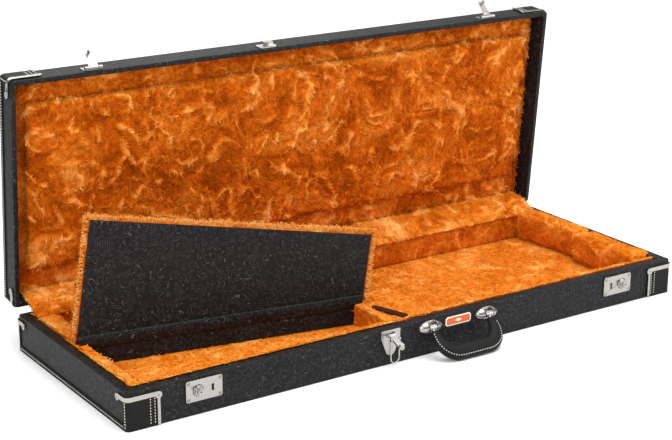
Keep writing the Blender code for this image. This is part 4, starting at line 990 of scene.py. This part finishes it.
# %% Materials of the fittings
def leather(name, dark, pale, pebble, roughness):
    """Bridle leather: pebbles of that size with creases between, over slow changes of tone."""
    material, tree, shader, place = new_material(name)
    pebbles = node(tree, "TexVoronoi", {"feature": "DISTANCE_TO_EDGE"}, Vector=place, Scale=1 / pebble)
    dome = node(tree, "MapRange", Value=pebbles, From_Max=0.35)
    cloudy = mottle(tree, place, 12 * pebble, 3.0)
    fill(tree, shader,
         Base_Color=two_tone(tree, cloudy, dark, pale),
         Roughness=node(tree, "MapRange", Value=cloudy, To_Min=roughness - 0.08, To_Max=roughness + 0.1),
         Normal=node(tree, "Bump", Height=dome, Strength=0.5, Distance=0.12 * MM),
         Specular_IOR_Level=0.16)
    return material


def plated(name, colour, roughness):
    """Nickel plate: polish leaves faint waves, and handling leaves slightly duller patches."""
    material, tree, shader, place = new_material(name)
    wave = mottle(tree, place, 5 * MM)
    patch = mottle(tree, place, 14 * MM, 3.0)
    fill(tree, shader,
         Roughness=node(tree, "MapRange", Value=patch, To_Min=roughness - 0.06, To_Max=roughness + 0.14),
         Normal=node(tree, "Bump", Height=wave, Strength=0.25, Distance=0.15 * MM),
         Base_Color=linear(colour), Metallic=1.0)
    return material


def matt(name, dark, pale, size, roughness=0.6):
    """A plain matt surface with a little variation at the given size: thread, enamel, paint."""
    material, tree, shader, place = new_material(name)
    fill(tree, shader, Base_Color=two_tone(tree, mottle(tree, place, size), dark, pale), Roughness=roughness)
    return material


BLACK_LEATHER = leather("black_bridle_leather", "#0d0c0c", "#151414", 1.3 * MM, 0.55)
BROWN_LEATHER = leather("brown_strap_leather", "#24140d", "#382015", 1.5 * MM, 0.5)
NICKEL = plated("nickel_plate", "#a8a5a0", 0.22)
THREAD = matt("waxed_linen_thread", "#d8d2c4", "#efeadd", 1 * MM)
ORANGE_ENAMEL = matt("orange_enamel", "#d8561f", "#e3642c", 6 * MM)
CREAM_ENAMEL = matt("cream_enamel", "#f1dfcc", "#f7e8da", 6 * MM)
# Painted shade: near-black pieces stand for the shade in keyholes, screw slots and the gaps round heads and knobs.
PAINTED_GAP_SHADE = matt("painted_gap_shade", "#0c0c0c", "#141414", 2 * MM)
print("fitting materials:", NICKEL.name, BLACK_LEATHER.name)

# %% [markdown]
# ## Metal fittings
# Corners, locks, latch, brackets and hinges are pressed from sheet, so their edges are slightly
# round. The solids already have the right outline. Each is taken over with a small round on every
# edge, which is what makes metal catch the light. The latch's thin wire takes a smaller one.

# %% Pressed nickel pieces
PRESSED_KINDS = ("corner_clamp", "lock_plate", "draw_", "handle_bracket", "hinge_leaf", "hasp", "lid_catch")
PRESSED = [name for name in BODY_OF if name.startswith(PRESSED_KINDS)]
for name in PRESSED:
    fitting = add_piece(name + "_nickel", node_copy(name), NICKEL, BODY_OF[name], [name], 35)
    bevel(fitting, 0.2 * MM if "draw" in name else 0.3 * MM, 2, 40)
print(len(PRESSED), "pressed pieces")

# %% [markdown]
# ## Turned pieces
# Knobs, key barrels, rivets and screw heads are turned on a lathe: a profile of radius against
# height is swept round an axis. A screw is a domed head over a dark ring, painted shade for the gap
# of its countersink, with a slot, which is a thin dark bar of painted shade let into the dome.

# %% Lathe and screws
RING = [(1.28, 0), (1.28, 0.08), (0.1, 0.08)]
DOME = [(1, 0), (0.98, 0.22), (0.75, 0.4), (0.3, 0.48), (0.05, 0.49)]
SLOT_HALF = (0.65, 0.12)
SLOT_HEIGHTS = (0.3, 0.53)


def lathe(name, profile, centre, axis, around):
    """Surface of revolution: profile rows are (radius, height); the ends close on the axis."""
    axis = np.array(axis, float) / np.linalg.norm(axis)
    across = np.cross(axis, [1, 0, 0] if abs(axis[0]) < 0.9 else [0, 0, 1])
    across /= np.linalg.norm(across)
    third = np.cross(axis, across)
    profile = np.array(profile, float)
    turn = np.linspace(0, 2 * math.pi, around, endpoint=False)
    circle = np.cos(turn)[:, None] * across + np.sin(turn)[:, None] * third
    points = np.array(centre) + profile[:, None, :1] * circle[None] + profile[:, None, 1:] * axis
    return tube(name, points)


def turned(name, profile, centre, axis, around, body, material, solids=(), sharp=35, scale=MM):
    """Turns a profile, given in the scale's unit, and adds it to the nickel fittings."""
    mesh = lathe(name, np.array(profile) * scale, centre, axis, around)
    return add_piece(name, mesh, material, body, solids, sharp)


def screw(name, at, outward, body, head):
    """A domed, slotted head of that radius. Every size in it is a share of the radius."""
    # The ring is painted shade for the countersink's gap.
    turned(name + "_ring", RING, at, outward, 18, body, PAINTED_GAP_SHADE, scale=head)
    turned(name, DOME, at, outward, 18, body, NICKEL, sharp=60, scale=head)
    along = np.array([0.6, 0, 0.8]) if abs(outward[1]) > 0.5 else np.array([0, 0.6, 0.8])
    across = np.cross(outward, along)
    half_length, half_width = np.array(SLOT_HALF) * head
    ends = [(-half_length, -half_width), (half_length, -half_width),
            (half_length, half_width), (-half_length, half_width)]
    bar = np.array([[np.array(at) + a * along + b * across + height * head * np.array(outward)
                     for a, b in ends] for height in SLOT_HEIGHTS])
    # The slot is a dark bar of painted shade.
    add_piece(name + "_slot", tube(name + "_slot", bar), PAINTED_GAP_SHADE, body, (), 35)


print("screw slot", SLOT_HALF[0] * 2, "radii long")

# %% [markdown]
# ## Lock knobs
# Each lock has a round knob that slides sideways to free the hasp. It holds a key barrel with a
# keyhole, a dark plug of painted shade, and stands in a thin dark disc of painted shade that shows
# the gap to the plate. Four screws hold the plate.

# %% Lock knobs and their screws
KNOB = [(8.4, -0.2), (8.5, 0.5), (8.3, 0.9), (7.3, 1.3), (7.1, 1.7), (7.1, 4.3), (6.8, 4.8), (6.2, 5.0),
        (0.5, 5.2)]
BARREL = [(5.2, 0), (5.2, 3.4), (4.9, 3.9), (4.3, 4.1), (3.9, 3.9), (3.6, 3.5), (0.3, 3.5)]
KEYHOLE = [(1.3, 0), (1.3, 3.75), (0.2, 3.8)]
SURROUND = [(9.3, 0), (9.2, 0.12), (0.5, 0.14)]
BARREL_BACK = 4.1 * MM
PLATE_FACE = 0.6 * MM
PLATE_SCREWS = [(4, 4), (56, 4), (56, 29), (4, 29)]
PLATE_SCREW_HEAD = 1.9 * MM
FORWARD = (0, -1, 0)
for side in ("left", "right"):
    slide = f"lock_slide_{side}"
    low, high = corners(slide)
    plate_low = corners(f"lock_plate_{side}")[0]
    x, _, z = (low + high) / 2
    face = plate_low[1] + PLATE_FACE
    on_plate, in_knob = (x, face, z), (x, low[1] + BARREL_BACK, z)
    turned(f"lock_knob_{side}", KNOB, on_plate, FORWARD, 40, slide, NICKEL, [slide])
    turned(f"lock_barrel_{side}", BARREL, in_knob, FORWARD, 32, slide, NICKEL)
    # The keyhole and the surround are painted shade for the hole and for the gap round the knob.
    turned(f"lock_keyhole_{side}", KEYHOLE, in_knob, FORWARD, 16, slide, PAINTED_GAP_SHADE)
    turned(f"lock_surround_{side}", SURROUND, on_plate, FORWARD, 40, "base", PAINTED_GAP_SHADE)
    for number, (right, up) in enumerate(PLATE_SCREWS):
        at = (plate_low[0] + right * MM, face, plate_low[2] + up * MM)
        screw(f"lock_screw_{side}_{number}", at, FORWARD, "base", PLATE_SCREW_HEAD)
print("lock face at y", round(face / MM, 1))

# %% [markdown]
# ## Screws of the corner clamps
# Each clamp has two ears, one along the side of the case and one along its end, and each ear has
# one screw. The lid's clamps are placed in the shut case, as mirror images of the base's.

# %% Corner-clamp screws
EAR_FROM_CORNER = (50 * MM, 24 * MM)
EAR_BELOW_STRIP = 5.7 * MM
UNDER_HEAD = 1.0 * MM
CLAMP_SCREW_HEAD = 2.3 * MM
CLAMPS = [name for name in BODY_OF if name.startswith("corner_clamp")]
for name in CLAMPS:
    body = BODY_OF[name]
    low, high = own_corners(name)
    x, y = (high[k] if low[k] + high[k] > 0 else low[k] for k in (0, 1))
    sx, sy = math.copysign(1, x), math.copysign(1, y)
    z = low[2] + EAR_BELOW_STRIP if body == "lid" else high[2] - EAR_BELOW_STRIP
    ears = {"long": ((sx * (HALF_LENGTH - EAR_FROM_CORNER[0]), y - sy * UNDER_HEAD, z), (0, sy, 0)),
            "short": ((x - sx * UNDER_HEAD, sy * (HALF_WIDTH - EAR_FROM_CORNER[1]), z), (sx, 0, 0))}
    for label, (at, out) in ears.items():
        if body == "lid":
            at, out = lift(at), lift_direction(out)
        screw(f"{name}_{label}_screw", at, out, body, CLAMP_SCREW_HEAD)
print(2 * len(CLAMPS), "clamp screws")

# %% [markdown]
# ## Leather ends
# Smooth leather is wrapped round both ends of each half and folded a little way onto the end face.
# The solid has this outline already, and a small round shows the thickness of the hide. Two rows
# of saddle stitching hold the edge of the wrap, and one row follows the fold on the end face. Each
# stitch is a short bulging capsule, because a painted line has no light and shade of its own.

# %% Leather ends and stitches
def stitches(name, paths, pitch, radius, body, share=0.62, sink=0.15):
    """Thread on the surface: each path is (start, end, outward), cut into capsules of even pitch.

    A capsule is four rings of six points: its radius at the rings is 0.35, 1, 1 and 0.35 of the
    full one, so that it bulges like a real stitch pulled into the hide at both ends.
    """
    shapes = []
    for start, end, outward in paths:
        start, end, outward = (np.array(v, float) for v in (start, end, outward))
        run = np.linalg.norm(end - start)
        count = max(1, round(run / pitch))
        along = (end - start) / run
        side = np.cross(along, outward)
        mid = start + (end - start) * ((np.arange(count) + 0.5) / count)[:, None]
        half = 0.5 * share * run / count
        turn = np.linspace(0, 2 * math.pi, 6, endpoint=False)
        ring = np.cos(turn)[:, None] * side + np.sin(turn)[:, None] * outward
        place = np.array([-1, -0.6, 0.6, 1]) * half
        size = np.array([0.35, 1, 1, 0.35]) * radius
        drop = np.array([-0.9, sink, sink, -0.9]) * radius
        rows = along * place[:, None] + outward * drop[:, None]
        capsule = rows[:, None, :] + ring[None] * size[:, None, None]
        shapes.append(mid[:, None, None, :] + capsule[None])
    points = np.concatenate(shapes)
    base = (np.arange(len(points)) * 24)[:, None, None]
    sides = (base + grid_faces(4, 6, loop_columns=True)[None]).reshape(-1, 4)
    ends = (base + np.array([[0, 1, 2, 3, 4, 5], [23, 22, 21, 20, 19, 18]])[None]).reshape(-1, 6)
    mesh = tidy_mesh(make_mesh(name, points.reshape(-1, 3), sides, ends), 1e-7)
    print(name, len(points), "stitches")
    return add_piece(name, mesh, THREAD, body, (), 0)


PITCH = 4.6 * MM
THREAD_RADIUS = 0.55 * MM
EDGE_LINES = (5 * MM, 12 * MM)
FOLD_LINE = 5 * MM
SEAM_FOOT = 4 * MM
SEAM_HEAD = 3 * MM
for name in [name for name in BODY_OF if name.startswith("leather_end")]:
    body = BODY_OF[name]
    hide = add_piece(name + "_hide", node_copy(name), BLACK_LEATHER, body, [name], 35)
    bevel(hide, 0.3 * MM, 2, 40)
    low, high = own_corners(name)
    sign = math.copysign(1, low[0] + high[0])
    inner_x, outer_x = (low[0], high[0]) if sign > 0 else (high[0], low[0])
    low_z, high_z = low[2] + SEAM_FOOT, high[2] - SEAM_HEAD
    rows = []
    for edge in EDGE_LINES:
        x = inner_x + sign * edge
        rows += [((x, low[1], low_z), (x, low[1], high_z), (0, -1, 0)),
                 ((x, high[1], low_z), (x, high[1], high_z), (0, 1, 0))]
    for y in (low[1] + FOLD_LINE, high[1] - FOLD_LINE):
        rows.append(((outer_x, y, low_z), (outer_x, y, high_z), (sign, 0, 0)))
    foot_z = low[2] + FOLD_LINE if body == "base" else high[2] - FOLD_LINE
    rows.append(((outer_x, low[1] + 2 * FOLD_LINE, foot_z), (outer_x, high[1] - 2 * FOLD_LINE, foot_z),
                 (sign, 0, 0)))
    if body == "lid":
        rows = [(lift(start), lift(end), lift_direction(out)) for start, end, out in rows]
    stitches(name + "_thread", rows, PITCH, THREAD_RADIUS, body)

# %% [markdown]
# ## The handle
# A steel core wrapped in leather and bent to a D. The path is two straight legs joined by rounded
# corners to the grip. Its section is an ellipse that swells from leg to grip, as the padding under
# the leather does on a real handle. A tube swept along that path is one closed skin.

# %% Handle
HANDLE_AT = np.array(JOINTS["handle_swing"]["pos_m"])
HANDLE_HALF = 56 * MM
HANDLE_REACH = 50 * MM
HANDLE_BEND = 30 * MM
LEATHER_FROM = 7.2 * MM
SWELL_FROM = 5.2 * MM
LEG_RADIUS = 7.5 * MM
GRIP_RADIUS = 13 * MM
FLATNESS = 0.68
LEAN = math.radians(44.96)
AROUND = 40
SEAM_ANGLE = math.radians(52)
down = np.array([0, -math.sin(LEAN), -math.cos(LEAN)])
flat = np.array([0, -math.cos(LEAN), math.sin(LEAN)])
sideways = np.array([1.0, 0, 0])
straight = np.linspace(LEATHER_FROM, HANDLE_REACH - HANDLE_BEND, 8)[:-1]
angle = np.linspace(0, math.pi / 2, 20)
corner_x = -HANDLE_HALF + HANDLE_BEND * (1 - np.cos(angle))
corner_z = HANDLE_REACH - HANDLE_BEND + HANDLE_BEND * np.sin(angle)
leg = np.stack([np.full(7, -HANDLE_HALF), straight], -1)
half_path = np.concatenate([leg, np.stack([corner_x, corner_z], -1)])
middle_x = np.linspace(-HANDLE_HALF + HANDLE_BEND, HANDLE_HALF - HANDLE_BEND, 26)[1:-1]
middle_path = np.stack([middle_x, np.full(24, HANDLE_REACH)], -1)
path = np.concatenate([half_path, middle_path, half_path[::-1] * [-1, 1]])
slope = np.gradient(path, axis=0)
slope /= np.linalg.norm(slope, axis=1, keepdims=True)
share = np.minimum(1, (path[:, 1] - SWELL_FROM) / (HANDLE_REACH - SWELL_FROM))
radius = LEG_RADIUS + (GRIP_RADIUS - LEG_RADIUS) * np.sin(share * math.pi / 2) ** 2
spine = HANDLE_AT + path[:, :1] * sideways + path[:, 1:] * down
outward = slope[:, 1:] * -sideways + slope[:, :1] * down
turn = np.linspace(0, 2 * math.pi, AROUND, endpoint=False)
ring = np.cos(turn)[None, :, None] * outward[:, None] + FLATNESS * np.sin(turn)[None, :, None] * flat
ends = np.ones(len(path))
ends[[0, -1]] = 0.8
grip_mesh = tube("handle_leather", spine[:, None] + (radius * ends)[:, None, None] * ring)
add_piece("handle_leather", grip_mesh, BLACK_LEATHER, "handle", ["handle_grip"], 60)
print("handle length", round(float(np.linalg.norm(np.diff(spine, axis=0), axis=1).sum()) / MM), "mm")

# %% [markdown]
# ## The handle's seams and steel ends
# The leather closes in two seams, one on each side of the outer edge. A seam is the ellipse's point
# at a fixed angle, followed along the path, and the stitches are spaced evenly by length walked.

# %% Handle seams, eyes and shanks
EYE = [(2.3, -6.5), (4.8, -6.5), (5.2, -6.0), (5.2, 6.0), (4.8, 6.5), (2.3, 6.5)]
SHANK = [(3.2, 3.5), (3.2, 13.0), (2.8, 13.4)]
HANDLE_THREAD = 0.65 * MM
seam = []
for side in (-1, 1):
    to_edge, to_flat = math.cos(SEAM_ANGLE) * outward, side * math.sin(SEAM_ANGLE) * flat
    line = spine + radius[:, None] * (to_edge + FLATNESS * to_flat)
    out = to_edge + to_flat / FLATNESS
    out /= np.linalg.norm(out, axis=1, keepdims=True)
    walked = np.concatenate([[0], np.cumsum(np.linalg.norm(np.diff(line, axis=0), axis=1))])
    marks = np.arange(walked[2], walked[-3], PITCH)
    knots, facing = (np.stack([np.interp(marks, walked, values[:, k]) for k in range(3)], -1)
                     for values in (line, out))
    seam += list(zip(knots[:-1], knots[1:], facing[:-1]))
stitches("handle_thread", seam, PITCH, HANDLE_THREAD, "handle", share=0.5)
for side in (-1, 1):
    at = HANDLE_AT + side * HANDLE_HALF * sideways
    turned(f"handle_eye_{side}", EYE, at, (1, 0, 0), 28, "handle", NICKEL)
    turned(f"handle_shank_{side}", SHANK, at, down, 20, "handle", NICKEL)
print(len(seam), "stitches in two seams")

# %% [markdown]
# ## The badge and the pull tab
# The badge is a small enamelled plate with notched ends, a cream border and two rivets. It carries
# only a plain diamond. The tab is a strap of brown leather with a slit, sewn into the plush beside
# the pocket.

# %% Badge and tab
def plate(name, outline, centre, right, up, low, high):
    """Prism: a flat outline, given along right and up, drawn from low to high along their normal."""
    outline = np.array(outline, float)
    out = np.cross(right, up)
    flat_points = np.array(centre) + outline[:, :1] * np.array(right) + outline[:, 1:] * np.array(up)
    points = np.concatenate([flat_points + low * out, flat_points + high * out])
    return tube(name, points.reshape(2, -1, 3))


def notched(width, height, notch):
    """A rectangle with its four corners cut in by a square notch."""
    w, h = width / 2, height / 2
    a, b = w - notch, h - notch
    return [(w, -b), (w, b), (a, b), (a, h), (-a, h), (-a, b),
            (-w, b), (-w, -b), (-a, -b), (-a, -h), (a, -h), (a, -b)]


badge_low, badge_high = corners("badge_plate")
badge_at = (badge_low + badge_high) / 2
badge_at[1] = badge_high[1]
size = (badge_high - badge_low)[[0, 2]]
RIGHT, UP = (1, 0, 0), (0, 0, 1)
RIVET = [(1.5, 0), (1.4, 0.5), (1.0, 0.9), (0.1, 1.1)]
DIAMOND = [(7 * MM, 0), (0, 3 * MM), (-7 * MM, 0), (0, -3 * MM)]
border = notched(*size, 2.2 * MM)
field = notched(*(size - 3.6 * MM), 1.6 * MM)
for label, outline, low, high, enamel, solids in (
        ("badge_border", border, 0, 1.2, CREAM_ENAMEL, ["badge_plate"]),
        ("badge_field", field, 0.5, 1.45, ORANGE_ENAMEL, ()),
        ("badge_diamond", DIAMOND, 1, 1.6, CREAM_ENAMEL, ())):
    layer = plate(label, outline, badge_at, RIGHT, UP, low * MM, high * MM)
    item = add_piece(label, layer, enamel, "base", solids, 35)
    if label != "badge_diamond":
        bevel(item, 0.25 * MM)
for side in (-1, 1):
    at = badge_at + [side * (size[0] / 2 - 4 * MM), -1.3 * MM, 0]
    turned(f"badge_rivet_{side}", RIVET, at, FORWARD, 16, "base", NICKEL, sharp=60)
TAB_HALF = 33 * MM
TAB_LIFT = 1.5 * MM
TAB_CURL = 2.5 * MM
tab_mesh = node_copy("pull_tab")
tab_points = read_points(tab_mesh)
tab_run = (tab_points[:, :2] - TAB_CENTRE[:2]) @ [math.cos(TAB_ANGLE), math.sin(TAB_ANGLE)] / TAB_HALF
tab_points[:, 2] += TAB_LIFT + TAB_CURL * np.clip(-tab_run, 0, 1) ** 2
tab = add_piece("pull_tab_leather", write_points(tab_mesh, tab_points), BROWN_LEATHER, "base",
                ["pull_tab"], 35)
bevel(tab, 0.5 * MM, 3, 40)
print("badge", np.round(size / MM, 1), "mm")

# %% [markdown]
# ## Floor, light and camera
# A pale sweep of floor, a soft light above, one from each side, one behind that lifts the floor to
# white, and a bright surround. The camera stands where a visitor to a shop would stand, a little
# above the case, with a long lens that keeps the case's edges nearly parallel.

# %% Studio
LENS = 89.137
CAMERA_AT = (-1.47497, -2.12598, 0.99767)
AZIMUTH = math.radians(-33.827)
ELEVATION = math.radians(17.680)
ROLL = math.radians(-0.164)


FLOOR_HALF = 18
FLOOR_POINTS = 25
FLOOR_BELOW = 0.2 * MM
floor_paint = matt("pale_painted_floor", "#f4f4f4", "#f8f8f8", 8 * MM, 0.9)
span = np.linspace(-FLOOR_HALF, FLOOR_HALF, FLOOR_POINTS)
floor_x, floor_y = np.meshgrid(span, span, indexing="ij")
floor_points = np.stack([floor_x, floor_y, np.full_like(floor_x, -FLOOR_BELOW)], -1)
floor_faces = grid_faces(FLOOR_POINTS, FLOOR_POINTS)[:, ::-1]
floor = add_piece("studio_floor", make_mesh("studio_floor", floor_points.reshape(-1, 3), floor_faces),
                  floor_paint, None)


def add_light(name, power, size, at, toward):
    """A soft rectangular light at one place, aimed at another."""
    light = bpy.data.lights.new(name, "AREA")
    light.energy = power
    light.shape = "RECTANGLE"
    light.size, light.size_y = size
    item = bpy.data.objects.new(name, light)
    bpy.context.scene.collection.objects.link(item)
    item.location = at
    aim = np.array(toward) - np.array(at)
    aim = aim / np.linalg.norm(aim)
    item.rotation_euler = (math.acos(-aim[2]), 0, math.atan2(aim[0], -aim[1]) + math.pi)


add_light("softbox_above", 50, (2.4, 1.6), (0.3, -0.5, 2.3), (0, 0, 0.05))
add_light("softbox_left", 44, (1.6, 1.6), (-2.4, -1.6, 1.4), (0, 0, 0.1))
add_light("softbox_back", 60, (4.0, 2.0), (0.6, 3.2, 2.6), (0.6, 2.2, 0))
add_light("softbox_right", 30, (1.6, 1.6), (2.2, -2.2, 1.2), (0, 0, 0.1))
world = bpy.data.worlds.new("studio_surround")
bpy.context.scene.world = world
world.use_nodes = True
sky = world.node_tree
upward = node(sky, "SeparateXYZ", i0=node(sky, "TexCoord").outputs["Generated"]).outputs["Z"]
shade = ramp(sky, upward, (0.0, "#8a8a8a"), (0.22, "#7c7c7c"), (0.5, "#e8e8e8"), (1.0, "#ffffff"))
fill(sky, sky.nodes["Background"], Color=shade, Strength=0.9)
bpy.context.scene.view_settings.view_transform = "Standard"

camera_data = bpy.data.cameras.new("camera")
camera_data.sensor_width = 36
camera_data.lens = LENS
camera_data.clip_end = 50
camera = bpy.data.objects.new("camera", camera_data)
bpy.context.scene.collection.objects.link(camera)
camera.location = CAMERA_AT
camera.rotation_mode = "XYZ"
camera.rotation_euler = (math.pi / 2 - ELEVATION, ROLL, AZIMUTH)
bpy.context.scene.camera = camera
print("lens", round(camera_data.lens, 2), "mm")
